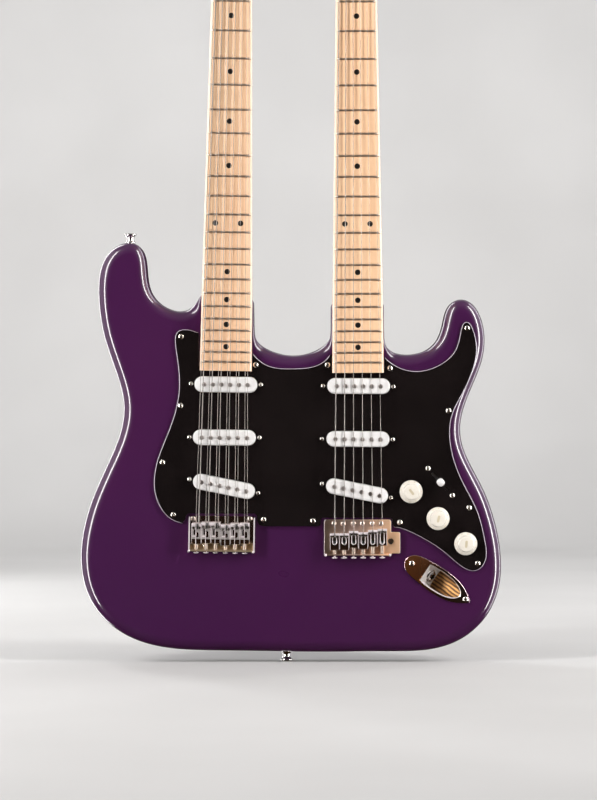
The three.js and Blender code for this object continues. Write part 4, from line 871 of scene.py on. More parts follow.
# ------------------------------------------------------------------ pickups
def pickups():
    poles, heights = Geo(), [0.9, 1.1, 1.4, 1.3, 0.7, 0.9]
    for name, (x, z, deg, pitch) in PICKUPS.items():
        M = Matrix.Translation((x, 0, z)) @ Matrix.Rotation(rad(deg), 4, "Y")
        rings = []
        for inset, h in [(3.2, 8.02), (1.7, 8.0), (1.0, 7.86), (0.45, 7.45), (0.12, 6.8), (0, 6.0), (0, -10)]:
            rings.append([(a, FRONT - h, b + 0.3) for a, b in pill(69.0 - 2 * inset, 17.0 - 2 * inset, 16)])
        piece(name + "_cover", Geo(loft(rings), 0, M), WHITE, slot="white_plastic", replaces=[name], angle=40)
        for i in range(6):
            P = M @ Matrix.Translation((pitch * (i - 2.5), FRONT, 0)) @ FACE
            poles.add(rod(2.42, 5, 8.0 + heights[i], 24, 0.3), 0, P)
    piece("pickup_poles", poles, POLE, slot="steel", angle=30)
    places = [(191,383.6),(260.8,384.6),(189.5,436.9),(259.5,437.4),(189.5,479),(258.2,492.9),(323,385.8),(393.3,386.5),(321.9,438.7),(392.7,439.4),(321.9,483.5),(390.8,497.4)]
    screws("pickup_screws", [px(*p) for p in places], 2.5, 1.5, NICKEL, h=GUARD_H)


# ------------------------------------------------------------------ necks
def crossing(points, vs):
    """x of a line of (x, v) points at each v."""
    p = np.array(points, float)
    keep = [0]
    for i in range(1, len(p)):
        if p[i, 1] > p[keep[-1], 1]:
            keep.append(i)
    return np.interp(vs, p[keep, 1], p[keep, 0])


def ring(xl, xr, ytop, crown, roll, start, back, n, v):
    """One slice of a neck: the crowned front with rolled edges, and a rounded back."""
    cx, hw, out = (xl + xr) / 2, (xr - xl) / 2, []
    roll = min(roll, hw * 0.45)

    def front(x):
        return ytop + (arc(min(abs(x), 120)) if crown else 0) * crown

    ye = front(hw - roll)
    for k in range(6):  # left edge up to the front
        t = rad(90) * k / 5
        out.append((cx - hw + roll - roll * math.cos(t), ye + roll - roll * math.sin(t), v))
    for x in [roll - hw + 0.5] + [-(hw - roll) + 2 * (hw - roll) * k / 12 for k in range(1, 12)] + [hw - roll - 0.5]:
        out.append((cx + x, front(x), v))
    for k in range(6):
        t = rad(90) * (1 - k / 5)
        out.append((cx + hw - roll + roll * math.cos(t), ye + roll - roll * math.sin(t), v))
    ys = max(ye + roll + 0.3, start)
    for k in range(1, 26):
        t = math.pi * k / 26
        c, s = math.cos(t), math.sin(t)
        out.append((cx + hw * math.copysign(abs(c) ** (2 / n), c), ys + (back - ys) * abs(s) ** (2 / n), v))
    return out


def neck(tag, N, M, left, right, posts):
    n, rings = N["nut"], []
    keys_v = [N["end"], 400, 405, 411, 420, 432, 450, 475, n - 30, n + 2]
    keys_b = [25.4, 25.4, 25.3, 24.9, 24.3, 23.7, 23.1, 22.5, 20.8, 20.55]
    keys_n = [16, 16, 11, 6.5, 4.2, 3.0, 2.45, 2.3, 2.3, 2.35]
    vs = sorted(set([N["end"], N["end"] + 2, 340, 370, 396] + list(np.arange(400, 480, 4.0)) + list(np.arange(480, n, 24.0)) + [n]))
    for v in vs:
        w = width(N, v) / 2
        back = TOP + float(np.interp(v, keys_v, keys_b))
        rings.append(ring(-w, w, TOP, 1.0, 2.5, TOP + 8.5, back, float(np.interp(v, keys_v, keys_n)), v))
    w = width(N, n) / 2
    dl, dr = spline([(-w, 0), (-w, 4)] + left, 0.7), spline([(w, 0), (w, 4)] + right, 0.7)
    top_v = min(left[-1][1], right[-1][1])
    hs = list(np.arange(1.5, 40, 1.5)) + list(np.arange(40, 150, 8.0)) + list(np.arange(150, 176, 2.5)) + list(np.linspace(176, top_v - 0.05, 16))
    for h in hs:
        s = smoothstep((h - 4.2) / 12.5)
        xl, xr = float(crossing(dl, [h])[0]), float(crossing(dr, [h])[0])
        e = max(0.0, h - (top_v - 1.6))
        round_off = 1.6 - math.sqrt(max(0.0, 1.6 * 1.6 - e * e))
        ytop = TOP + 6.35 * s + round_off
        back = TOP + 20.55 - round_off
        expo = 2.35 + 14 * smoothstep((h - 6) / 24)
        rings.append(ring(xl, xr, ytop, 1 - s, 2.5 - 1.3 * s, TOP + 8.5, back, expo, n + h))
    g = Geo(loft(rings))
    # faces on the rolled edges take the paler maple, a painted highlight; the faces between roll and front take the
    # darker line maple
    per, strip = len(rings[0]), {0: 0, 1: 1, 2: 1, 3: 1, 4: 1, 5: 2, 18: 2, 19: 1, 20: 1, 21: 1, 22: 1}
    for k in range(len(vs) - 1):
        for i, m in strip.items():
            g.m[k * per + i] = m
    ob = raw("neck_%s_wood" % tag, g, [MAPLE, EDGE_MAPLE, LINE_MAPLE])
    boolean(ob, Geo(box(-40, 40, FRONT - 3.0, 10, N["end"] - 1, N["heel"] - 0.05)))
    boolean(ob, Geo(box(-40, 40, TOP - 3, TOP + 3.2, n, n + 3.4)))
    boolean(ob, Geo(prism(rounded(rect(-3.3, 3.3, n + 8.5, n + 21), [1, 1, 3, 3]), HEAD_Y - 6, TOP + 14.2)))
    holes = Geo()
    for u, v in posts:
        holes.add(rod(4.0, -40, 0, 20), 0, Matrix.Translation((u, 0, n + v)) @ Matrix.Rotation(rad(90), 4, "X") @ Matrix.Translation((0, 0, 0)) @ Matrix.Rotation(math.pi, 4, "X"))
    ob.data.transform(Matrix.Diagonal((1, 1, 1, 1)))
    holes2 = Geo()
    for u, v in posts:
        holes2.add(prism([(u + 4.0 * math.cos(rad(18 * i)), n + v + 4.0 * math.sin(rad(18 * i))) for i in range(20)], HEAD_Y - 4, HEAD_BACK + 4))
    boolean(ob, holes2)
    ob.data.transform(Matrix.Diagonal((1 / MM, 1 / MM, 1 / MM, 1)))
    ob.data.transform(Matrix.Diagonal((MM, MM, MM, 1)) @ M)
    done(ob, slot="maple", replaces=["neck_" + tag], angle=32)

    g = Geo()
    for i in range(1, 23):
        v = n - (n - N["saddle"]) * (1 - 2 ** (-i / 12))
        hw = width(N, v) / 2 - 1.15
        us = [-hw, -hw + 0.9, -hw + 1.8, -hw + 2.6] + list(np.linspace(-hw + 6, hw - 6, 9)) + [hw - 2.6, hw - 1.8, hw - 0.9, hw]
        hts = [0.12, 0.5, 0.86, 1.0] + [1.0] * 9 + [1.0, 0.86, 0.5, 0.12]
        rows = []
        for u, k in zip(us, hts):
            y = TOP + arc(u)
            rows.append([(u, y + 0.6, v - 1.2)] + [(u, y - 1.02 * k * math.sin(math.pi * j / 8), v - 1.2 * math.cos(math.pi * j / 8)) for j in range(9)] + [(u, y + 0.6, v + 1.2)])
        g.add(loft(rows), 0, M)
    piece("frets_" + tag, g, FRET, slot="chrome", angle=50)

    g = Geo()

    def dot(u0, v0, r=3.05):
        a, b = [], []
        for i in range(28):
            u, v = u0 + r * math.cos(2 * math.pi * i / 28), v0 + r * math.sin(2 * math.pi * i / 28)
            a.append((u, TOP + arc(u) - 0.03, v))
            b.append((u, TOP + arc(u) + 0.8, v))
        return loft([a, b])

    fret = lambda i: n - (n - N["saddle"]) * (1 - 2 ** (-i / 12))
    for i in (3, 5, 7, 9, 15, 17, 19, 21):
        g.add(dot(0, (fret(i) + fret(i - 1)) / 2), 0, M)
    for u in (-13.8, 13.8):
        g.add(dot(u, (fret(12) + fret(11)) / 2), 0, M)
    for i in (3, 5, 7, 9, 12, 15, 17, 19, 21):  # small dots in the edge that the player sees
        v = (fret(i) + fret(i - 1)) / 2
        hw = width(N, v) / 2
        for dv in ((-3.5, 3.5) if i == 12 else (0,)):
            ringpts = [[(x, TOP + 4.6 + 1.0 * math.cos(2 * math.pi * k / 14), v + dv + 1.0 * math.sin(2 * math.pi * k / 14)) for k in range(14)] for x in (-hw - 0.04, -hw + 0.8)]
            g.add(loft(ringpts), 0, M)
    piece("dots_" + tag, g, DOT, slot="black_plastic")

    # nut: its top follows the strings, with a slot for each
    w = width(N, n) / 2 - 0.2
    spots = sorted(([-17.2 + i * 6.88 + s for i in range(6) for s in (-1.15, 1.15)]) if tag == "12" else [-18.1 + i * 7.24 for i in range(6)])
    topl = []
    us = [-w + 0.5]
    for q in spots:
        us += [q - 0.42, q - 0.3, q, q + 0.3, q + 0.42]
    us.append(w - 0.5)
    for i, u in enumerate(us):
        depth = [0, 0.25, 0.55, 0.25, 0][(i - 1) % 5] if 0 < i < len(us) - 1 else 0.25
        topl.append((u, FRONT - 11.75 + arc(u) + depth))
    prof = [(-w, TOP + 3.0), (-w, TOP + arc(w) - 1.2)] + topl + [(w, TOP + arc(w) - 1.2), (w, TOP + 3.0)]
    rows = [[(u, y, v) for u, y in prof] for v in (n + 0.25, n + 3.15)]
    rows.insert(1, [(u, y + (0 if y > TOP + 1 else 0), n + 1.0) for u, y in prof])
    rows[-1] = [(u, y + (0.45 if y < TOP + 1 else 0), n + 3.15) for u, y in prof]
    piece("nut_%s_blank" % tag, Geo(loft(rows), 0, M), BONE, slot="bone", replaces=["nut_" + tag], angle=25)


# ------------------------------------------------------------------ tuners
def line_of(u0, v0, deg, pitch, side):
    dx, dz = math.sin(rad(deg)), math.cos(rad(deg))
    return dict(u0=u0, v0=v0, deg=deg, side=side, pitch=pitch, posts=[(u0 + dx * pitch * i, v0 + dz * pitch * i) for i in range(6)])


ROWS = {"left": line_of(-24.6, 40, 1.66, 23.6, -1), "right": line_of(24.6, 40, -1.66, 23.6, 1), "six": line_of(-20.5, 34, 13.5, 24.6, -1)}
STRIP_Y = HEAD_BACK + 0.3
KEY_Y = STRIP_Y + 4.7
POST_TOP = HEAD_Y - 11


def post_parts(front):
    """A string post about local z, z out of the headstock's face; front is the height of its top."""
    h = front
    return lathe([(0, -16), (2.9, -16), (2.9, 1.4), (2.2, 4.2), (2.05, 5.6), (2.2, 7.2), (2.9, 9.2), (2.9, h - 0.4), (2.5, h), (0, h)], 24)


def tuners(name, N, M, strip_node, key_name, first, moving):
    row = ROWS[name]
    f = row["side"]
    R = M @ Matrix.Translation((row["u0"], 0, N["nut"] + row["v0"])) @ Matrix.Rotation(rad(row["deg"]) + (math.pi if f < 0 else 0), 4, "Y")
    zs = [f * i * row["pitch"] for i in range(6)]
    lo, hi = min(zs) - 11, max(zs) + 11
    g = Geo()
    strip = raw("strip", Geo(prism(rounded(rect(-7, 7.2, lo, hi), 3), STRIP_Y, STRIP_Y + 1.2)), [CHROME])
    housings, screws_g, bush = Geo(), Geo(), Geo()
    for z in zs:
        ringset = []
        for inset, y in [(0, STRIP_Y + 1.0), (0, STRIP_Y + 6.8), (0.35, STRIP_Y + 7.8), (1.3, STRIP_Y + 8.6)]:
            ringset.append([(x, y, zz) for x, zz in rounded(rect(-6.4 + inset, 8.4 - inset, z - 5.6 + inset, z + 5.6 - inset), 1.8, 4)])
        housings.add(loft(ringset))
        housings.add(rod(1.9, -0.35, 0.35, 20, 0.12), 0, Matrix.Translation((-1.5, STRIP_Y + 8.7, z)) @ Matrix.Rotation(rad(-90), 4, "X"))
        housings.add(rod(2.9, 0, 3.4, 20, 0.3), 0, Matrix.Translation((8.2, KEY_Y, z)) @ Matrix.Rotation(rad(90), 4, "Y"))
        bush.add(lathe([(3.1, -1.2), (5.0, -1.2), (5.0, 0.7), (4.4, 1.2), (3.3, 1.2), (3.1, 1.0)], 28), 0, Matrix.Translation((0, HEAD_Y, z)) @ FACE)
    mids = [lo + 3.6] + [(a + b) / 2 for a, b in zip(sorted(zs)[:-1], sorted(zs)[1:])] + [hi - 3.6]
    for z in mids:
        screws_g.add(phillips(1.9, 0.8), 0, Matrix.Translation((0, STRIP_Y + 1.2, z)) @ REAR @ Matrix.Rotation(rnd.uniform(0, 3), 4, "Z"))
    strip.data.transform(Matrix.Diagonal((1 / MM, 1 / MM, 1 / MM, 1)))
    strip.data.transform(Matrix.Diagonal((MM, MM, MM, 1)) @ R)
    strip.name = strip_node + "_plate"
    done(strip, slot="chrome", bevel=0.25, angle=40, replaces=[strip_node])
    piece(strip_node + "_housings", Geo(housings, 0, R), CHROME, slot="chrome", angle=40)
    piece(strip_node + "_bushings", Geo(bush, 0, R), CHROME, slot="chrome", angle=40)
    piece(strip_node + "_screws", Geo(screws_g, 0, R), NICKEL, slot="chrome", angle=40)
    posts = Geo()
    for i, z in enumerate(zs):
        P = Matrix.Translation((0, HEAD_Y, z)) @ FACE
        top = 11.0
        if moving:
            nm = "tuner_post_6_%d" % (i + 1)
            piece(nm + "_metal", Geo(post_parts(top), 0, R @ P), CHROME, body=nm, slot="chrome", replaces=[nm], angle=40)
        else:
            posts.add(post_parts(top), 0, R @ P)
        kn = key_name % (first + i)
        K = R @ Matrix.Translation((0, KEY_Y, z))
        shaft = Geo(rod(1.5, 4, 15.6, 16), 0, Matrix.Rotation(rad(90), 4, "Y"))
        shaft.add(lathe([(0, 12.2), (2.4, 12.2), (2.6, 12.8), (2.6, 14.6), (2.0, 15.8), (0, 16.4)], 20), 0, Matrix.Rotation(rad(90), 4, "Y"))
        rings = []
        for x, a, b in [(15.4, 1.6, 1.5), (15.9, 3.6, 2.2), (16.8, 5.6, 2.7), (18.2, 7.1, 3.1), (20.0, 8.1, 3.5), (22.0, 8.45, 3.75), (24.0, 7.9, 3.7), (25.8, 6.5, 3.3), (27.1, 4.4, 2.5), (27.8, 2.2, 1.4)]:
            rings.append([(x, b * math.copysign(abs(math.cos(t)) ** 0.85, math.cos(t)), a * math.copysign(abs(math.sin(t)) ** 0.9, math.sin(t))) for t in [2 * math.pi * k / 28 for k in range(28)]])
        button = Geo(loft(rings))
        button.add(shaft)
        piece(kn + "_metal", Geo(button, 0, K), CHROME, body=kn, slot="chrome", replaces=[kn], angle=45)
    if not moving:
        piece(strip_node + "_posts", posts, CHROME, slot="chrome", angle=40)


# ------------------------------------------------------------------ saddles, in a neck's frame: x across, z along
def hex_screw(r, h):
    ob = raw("grub", Geo(lathe([(0, 0), (r - 0.2, 0), (r, 0.2), (r, h - 0.2), (r - 0.25, h), (0, h)], 20)), [NICKEL])
    boolean(ob, Geo(flat([(r * 0.5 * math.cos(rad(60 * i)), r * 0.5 * math.sin(rad(60 * i))) for i in range(6)], h - 1.4, h + 1)))
    out = ([tuple(c / MM for c in v.co) for v in ob.data.vertices], [tuple(p.vertices) for p in ob.data.polygons])
    me = ob.data
    bpy.data.objects.remove(ob)
    bpy.data.meshes.remove(me)
    return out


GRUB = hex_screw(1.45, 6.0)


def at(h):
    return FRONT - h


def saddle_y(u):
    return at(SADDLE_H) + arc(u) * 0.55


def block_saddle(name, u, z, top, low, length, notches, slot_end, pale, holes_at):
    """A cast block saddle with an oval slot whose rim is chamfered, string notches and a curved front; top is the crest's y and low its underside's."""
    w, fall, r0, gap = (5.2, 5.5, 2.65, 4.9) if pale else (5.1, 4.0, 1.9, 2.9)
    prof = [(low, z + 1.3), (top + 1.7, z + 1.7), (top + 0.8, z + 1.45), (top + 0.2, z + 0.8), (top, z), (top + 0.25, z - 0.9), (top + 0.9, z - 2.0), (top + 2.0, z - 5.5), (top + fall - 0.6, z - length + 1.0), (top + fall, z - length), (low, z - length)]
    if pale:
        turn = 135.5
        prof.insert(8, (top + 2.0 + (fall - 2.6) * (z - 5.5 - turn) / (length - 6.5), turn))
    ob = raw(name, Geo(sidewise(prof, u - w, u + w)), [CHROME, CAST, HOLE_SHADE, EDGE_HIGHLIGHT, SADDLE_SHADE])
    soften(ob, 0.5)

    def surface(zz):
        return float(np.interp(z - zz, [0, 0.9, 2.0, 5.5, length - 1.0, length], [top, top + 0.25, top + 0.9, top + 2.0, top + fall - 0.6, top + fall]))

    def oval(grow, drop=0.0):
        r, hi, lo_ = r0 + grow, z - gap - r0, slot_end + r0 - drop
        return [(u + r * math.cos(t), hi + r * math.sin(t)) for t in [math.pi * k / 12 for k in range(13)]] + [(u + r * math.cos(t), lo_ + r * math.sin(t)) for t in [math.pi + math.pi * k / 12 for k in range(13)]]

    def lobe(x0, x1, z0, z1, grow):
        r = (x1 - x0) / 2 + grow
        c, a, b = (x0 + x1) / 2, z0 + (x1 - x0) / 2, z1 - (x1 - x0) / 2
        return [(u + c + r * math.cos(t), b + r * math.sin(t)) for t in [math.pi * k / 10 for k in range(11)]] + [(u + c + r * math.cos(t), a + r * math.sin(t)) for t in [math.pi + math.pi * k / 10 for k in range(11)]]

    if pale:  # one opening on each side of the string that runs over the saddle
        lobes = [(-2.85, -0.25, 139.3, z - 5.2), (-0.75, 2.85, 136.9, z - 8.0)]
        outlines = [[lobe(*q, grow) for grow in (0.0, 0.55)] for q in lobes]
    else:
        outlines = [[oval(0), oval(1.4)]]
    # the slot walls, notches and screw holes are cut in near black: painted shade
    for inner, outer in outlines:
        boolean(ob, Geo(prism(inner, top - 3, low + 3)), mats=[HOLE_SHADE])
    for inner, outer in outlines:
        boolean(ob, Geo(loft([[(x, surface(zz) - 0.35, zz) for x, zz in outer], [(x, surface(zz) + 0.55, zz) for x, zz in inner]])), mats=[CAST])
    for q, r in notches:
        boolean(ob, Geo(tube([(q, top - 0.15, z + 4), (q, top - 0.15, z + 0.4), (q, top + 0.05, z - 1.2), (q, top + 1.6, z - 3.8), (q, top + 3.6, z - 6.4)], r, 10)), mats=[HOLE_SHADE])
    for s in (-1, 1):
        boolean(ob, Geo(prism([(u + s * 3.25 + 1.55 * math.cos(rad(20 * i)), z - holes_at + 1.55 * math.sin(rad(20 * i))) for i in range(18)], top - 3, low + 3)), mats=[HOLE_SHADE])
    # front faces near the crest get the bright edge material, a painted highlight; on the 12-string saddles the front
    # slope below takes the darker metal, painted shade
    names = [m.name for m in ob.data.materials]
    edge, dull = names.index(EDGE_HIGHLIGHT.name), names.index(SADDLE_SHADE.name)
    for q in ob.data.polygons:
        c = q.center / MM
        if names[q.material_index] == CHROME.name and q.normal.y < 0.3:
            if c.z > z - (1.4 if pale else 1.1):
                q.material_index = edge
            elif pale and c.z > 135.5 and q.normal.y < -0.3:
                q.material_index = dull
    return ob


def edge_faces(ob, mat, sideways=0.22, keep=None):
    """Gives the rounded side edges of a plated part, and the faces that keep picks, the bright material mat: a painted
    highlight.
    """
    names = [m.name for m in ob.data.materials]
    if mat.name not in names:
        ob.data.materials.append(mat)
        names.append(mat.name)
    k = names.index(mat.name)
    for q in ob.data.polygons:
        if (sideways < abs(q.normal.x) < 0.985 and q.normal.y < -0.12 and names[q.material_index] != HOLE_SHADE.name) or (keep and keep(q.center / MM, q.normal)):
            q.material_index = k


def saddle_set(tag, N, M, xs, crests, low, length, rear, floor, slot_end, body):
    saddles, grubs, springs, heads, lip_highlights = [], Geo(), Geo(), Geo(), Geo()
    holes_at = 3.7 if tag == "12" else 2.4
    for i, (x, z) in enumerate(zip(xs, crests)):
        u = local_x(N, x, z)
        notches = [(u, 0.75), (u + 1.5, 0.7)] if tag == "12" else [(u, 0.75)]
        crest = saddle_y(abs(u) + (1.5 if tag == "12" else 0)) + 0.55
        u -= 0.95 if tag == "12" else 0
        ob = block_saddle("saddle_%s_%d" % (tag, i + 1), u, z, crest, at(low), length, notches, slot_end, tag == "12", holes_at)
        ob.data.transform(Matrix.Diagonal((1 / MM, 1 / MM, 1 / MM, 1)))
        ob.data.transform(Matrix.Diagonal((MM, MM, MM, 1)) @ M)
        done(ob, body, "chrome", angle=38)
        edge_faces(ob, EDGE_HIGHLIGHT)
        if tag == "12":  # the lower ends lie in the shade of the tray's rear wall
            names = [m.name for m in ob.data.materials]
            for q in ob.data.polygons:
                if q.center.z < 0.1334 and names[q.material_index] == EDGE_HIGHLIGHT.name:
                    q.material_index = names.index(SADDLE_SHADE.name)
        saddles.append(ob)
        if tag == "12":  # a bright dome at the slot's lower lip: a painted highlight
            P = M @ Matrix.Translation((u - 2.2, crest + 3.5, 138.5)) @ FACE @ Matrix.Diagonal((2.1, 0.95, 0.9, 1))
            lip_highlights.add(lathe([(math.cos(t), math.sin(t)) if 0 < k < 8 else (0, math.sin(t)) for k in range(9) for t in [-math.pi / 2 + math.pi * k / 8]], 20), 0, P)
        for s in (-1, 1):
            P = Matrix.Translation((u + s * 3.25, floor, z - holes_at)) @ FACE
            grubs.add(GRUB, 0, M @ P @ Matrix.Translation((0, 0, 0.1)) @ Matrix.Diagonal((1, 1, (floor - crest - (1.3 if tag == "12" else 0.9)) / 6.0, 1)))
        y = at(low) - 2.3
        z1 = z - length + 1.5
        Z = Matrix.Translation((u, y, 0))
        springs.add(tube([(u + p[0], y + p[1], p[2]) for p in helix(1.95, z1 - 1.2, rear + 2.2, max(3, (z1 - rear) / 1.05), 12)], 0.36, 6), 0, M)
        heads.add(rod(1.25, rear - 1.6, z1 + 1.2, 14), 0, M @ Z)
        heads.add(rod(3.1, rear - (1.7 if tag == "12" else 1.9), rear - (1.05 if tag == "12" else 0.85), 28, 0.2), 0, M @ Z)
        heads.add(phillips(2.7, 0.6), 0, M @ Matrix.Translation((u, y, rear - 1.8)) @ Matrix.Rotation(math.pi, 4, "X") @ Matrix.Rotation(rnd.uniform(0, 3), 4, "Z"))
    piece("saddle_height_screws_" + tag, grubs, NICKEL, body=body, slot="chrome", angle=40)
    piece("saddle_springs_" + tag, springs, SPRING, body=body, slot="chrome", angle=60)
    if lip_highlights.v:
        piece("saddle_slot_lips_" + tag, lip_highlights, EDGE_HIGHLIGHT, body=body, slot="chrome", angle=60)
    # the intonation screws are in the bright edge material: a painted highlight
    piece("saddle_intonation_screws_" + tag, heads, EDGE_HIGHLIGHT, body=body, slot="chrome", angle=40)
    return saddles


def bridge_12():
    x0, x1, zr, zf = -37.85, 34.75, 122.0, 160.8
    ob = raw("bridge_12_tray", Geo(prism(rounded(rect(x0, x1, zr, zf), [1.2, 1.2, 3.2, 3.2]), at(2.4), at(0.35))), [TRAY])
    wall = [(at(1.0), zr - 0.8), (at(8.6), zr - 0.8), (at(9.4), zr + 0.1), (at(9.4), zf - 6.5), (at(8.6), zf - 4.0), (at(6.0), zf - 2.2), (at(1.0), zf - 1.2)]
    boolean(ob, Geo(sidewise(wall, x0, x0 + 1.55)), "UNION")
    boolean(ob, Geo(sidewise(wall, x1 - 1.55, x1)), "UNION")
    boolean(ob, Geo(box(x0 + 0.2, x1 - 0.2, at(9.4), at(1.0), zr, zr + 1.9)), "UNION")
    for x in STRINGS12:
        u = local_x(NECK12, x, 123)
        boolean(ob, Geo(rod(1.6, zr - 2, zr + 4, 16), 0, Matrix.Translation((u, at(5.5), 0))))
    ob.data.transform(Matrix.Diagonal((1 / MM, 1 / MM, 1 / MM, 1)))
    ob.data.transform(Matrix.Diagonal((MM, MM, MM, 1)) @ F12)
    done(ob, slot="chrome", replaces=["bridge_12"], bevel=0.55, angle=40, segs=3)

    def bright(c, n):  # the tops of the side walls and the front edge get the painted highlight
        u = local_x(NECK12, c.x, c.z)
        return n.y < -0.1 and ((u < x0 + 1.6 or u > x1 - 1.6) and (c.y < at(4.0) or n.z > 0.2) or (n.z > 0.2 and c.z > zf - 1.5))

    edge_faces(ob, EDGE_HIGHLIGHT, keep=bright)
    # the corner posts are in the bright edge material: a painted highlight
    posts = Geo()
    for u, v in ((x0 + 0.8, zr + 0.2), (x1 - 1.5, zr - 0.1)):
        posts.add(lathe([(0, 0.4), (1.3, 0.4), (1.3, 9.6), (1.1, 10.3), (0.6, 10.75), (0, 10.85)], 20), 0, F12 @ Matrix.Translation((u, FRONT, v)) @ FACE)
    piece("bridge_12_corner_posts", posts, EDGE_HIGHLIGHT, slot="chrome", angle=50)
    saddles = saddle_set("12", NECK12, F12, STRINGS12, CREST12, 3.2, 21.8, zr, at(2.4), 137.4, GUITAR)
    screws("bridge_12_front_screws", [(-102.5, 157.6), (-40.3, 157.6)], 3.0, 1.7, DULL_SCREW, h=2.4)
    screws("bridge_12_inner_screws", [(-90.5, 128.5), (-49.1, 128.1)], 2.0, 1.0, NICKEL, h=2.4)


def tremolo():
    plate = [(41.3, 117.4), (114.8, 117.4), (115.6, 119.6), (124.8, 119.6), (124.8, 143.1), (114.8, 143.1), (114.8, 156.9), (41.3, 156.9)]
    ob = raw("tremolo_top", Geo(prism(rounded(plate, [1.3, 1.3, 0.6, 1.8, 1.8, 1.0, 2.6, 2.6]), at(4.2), at(1.85))), [TREM_PLATE])
    soften(ob, 0.85, 4)
    flange = raw("flange", Geo(box(41.5, 114.6, at(10.8), at(2.0), 117.4, 119.2)), [TREM_PLATE])
    soften(flange, 0.5, 3)
    boolean(ob, ([tuple(c / MM for c in v.co) for v in flange.data.vertices], [tuple(q.vertices) for q in flange.data.polygons]), "UNION")
    bpy.data.objects.remove(flange)
    boolean(ob, Geo(prism([(114.5 + 3.2 * math.cos(rad(12 * i)), 133.0 + 3.2 * math.sin(rad(12 * i))) for i in range(30)], at(20), at(0))))
    for x in STRINGS6:
        boolean(ob, Geo(prism([(x + 1.9 * math.cos(rad(20 * i)), 132.5 + 1.9 * math.sin(rad(20 * i))) for i in range(18)], at(6), at(0))))
        boolean(ob, Geo(rod(1.5, 114, 121, 16), 0, Matrix.Translation((x, at(7.0), 0))))
    done(ob, TREM, "chrome", replaces=["tremolo_plate"], angle=40)
    # the plate's side edges get the bright edge material, and the right-facing ones a warmer bright one: painted
    # highlights
    edge_faces(ob, EDGE_HIGHLIGHT)
    ob.data.materials.append(WARM_EDGE)
    for q in ob.data.polygons:
        if 0.22 < q.normal.x < 0.985 and q.normal.y < -0.05:
            q.material_index = len(ob.data.materials) - 1
    # the corner posts are in the bright edge material: a painted highlight
    posts = Geo()
    for x in (42.9, 113.4):
        posts.add(lathe([(0, 2.0), (1.4, 2.0), (1.4, 10.4), (1.2, 11.1), (0.6, 11.5), (0, 11.6)], 20), 0, on_top(x, 118.2))
    piece("tremolo_corner_posts", posts, EDGE_HIGHLIGHT, body=TREM, slot="chrome", angle=50)
    saddle_set("6", NECK6, F6, STRINGS6, CREST6, 4.7, 17.2, 116.6, at(4.2), 130.4, TREM)
    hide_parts("saddles_6")
    g = Geo()
    for x in (52.0, 62.3, 73.3, 83.3, 94.0, 103.8):
        g.add(phillips(3.0, 1.8), 0, on_top(x, 152.5, 4.2, rnd.uniform(0, 3)))
        g.add(rod(1.7, -16, 0.2, 16), 0, on_top(x, 152.5, 4.2))
    piece("tremolo_pivot_screws", g, DULL_SCREW, slot="chrome", angle=40)
    # springs, hooked in the block and on the claw
    for k, dx in enumerate((-15, 0, 15)):
        x, y = 78.5 + dx, 14.6
        coil = [(x + a, y + b, c) for a, b, c in helix(3.2, 222.0, 148.0, 46, 10)]
        pts = [(x, y, 228.5), (x, y + 1.5, 229.6), (x, y + 2.6, 227.5), (x + 1.6, y + 1.6, 224.0)] + coil + [(x + 1.5, y, 146.0), (x, y, 143.5), (x, y, 140.2), (x, 13.4, 138.6), (x, 11.5, 138.4), (x, 7.0, 138.4)]
        ob = raw("tremolo_spring_%d" % (k + 1), Geo(tube(pts, 0.62, 6)), [NICKEL])
        me = ob.data
        bm = bmesh.new()
        bm.from_mesh(me)
        for f in bm.faces:
            f.smooth = True
        bm.to_mesh(me)
        bm.free()
        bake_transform(ob)
    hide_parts("tremolo_springs")
    claw = Geo(prism(rounded([(56, 226), (101, 226), (101, 232), (96, 236), (61, 236), (56, 232)], 1.0), 13.8, 15.4))
    for dx in (-15, 0, 15):
        claw.add(tube([(78.5 + dx, 14.6, 226.5), (78.5 + dx, 16.6, 226.2), (78.5 + dx, 17.0, 228.6)], 0.9, 8))
    piece("spring_claw", claw, STEEL, slot="steel", bevel=0.2)
    g = Geo()
    for dx in (-13, 13):
        g.add(rod(1.9, 231, 283, 16), 0, Matrix.Translation((78.5 + dx, 14.6, 0)))
        g.add(phillips(3.6, 1.4), 0, Matrix.Translation((78.5 + dx, 14.6, 226.2)) @ Matrix.Rotation(math.pi, 4, "X"))
    piece("claw_screws", g, NICKEL, slot="chrome", angle=40)


# ------------------------------------------------------------------ strings
GAUGE12 = [(0.31, 0.56), (0.27, 0.46), (0.25, 0.38), (0.23, 0.32), (0.24, 0.24), (0.22, 0.22)]
GAUGE6 = [0.58, 0.48, 0.38, 0.30, 0.26, 0.24]


def winding(pu, pv, n, r, start_angle, turns, top, pitch, clockwise):
    """Points of a string wound on a post, going down towards the headstock; in the neck's frame."""
    out, per = [], 16
    k = int(turns * per)
    for i in range(k + 1):
        a = start_angle + (-1 if clockwise else 1) * 2 * math.pi * i / per
        out.append((pu + r * math.sin(a), top + pitch * i / per, n + pv + r * math.cos(a)))
    return out


def to_post(un, n, pu, pv, r, inner_right):
    """Angle on the post (from +v towards +u) where a string from the nut touches it."""
    dx, dz = pu - un, pv - 1.7
    d = math.hypot(dx, dz)
    base = math.atan2(dx, dz)  # direction from nut to post
    off = math.acos(r / d)
    back = base + math.pi
    return back - off if inner_right else back + off


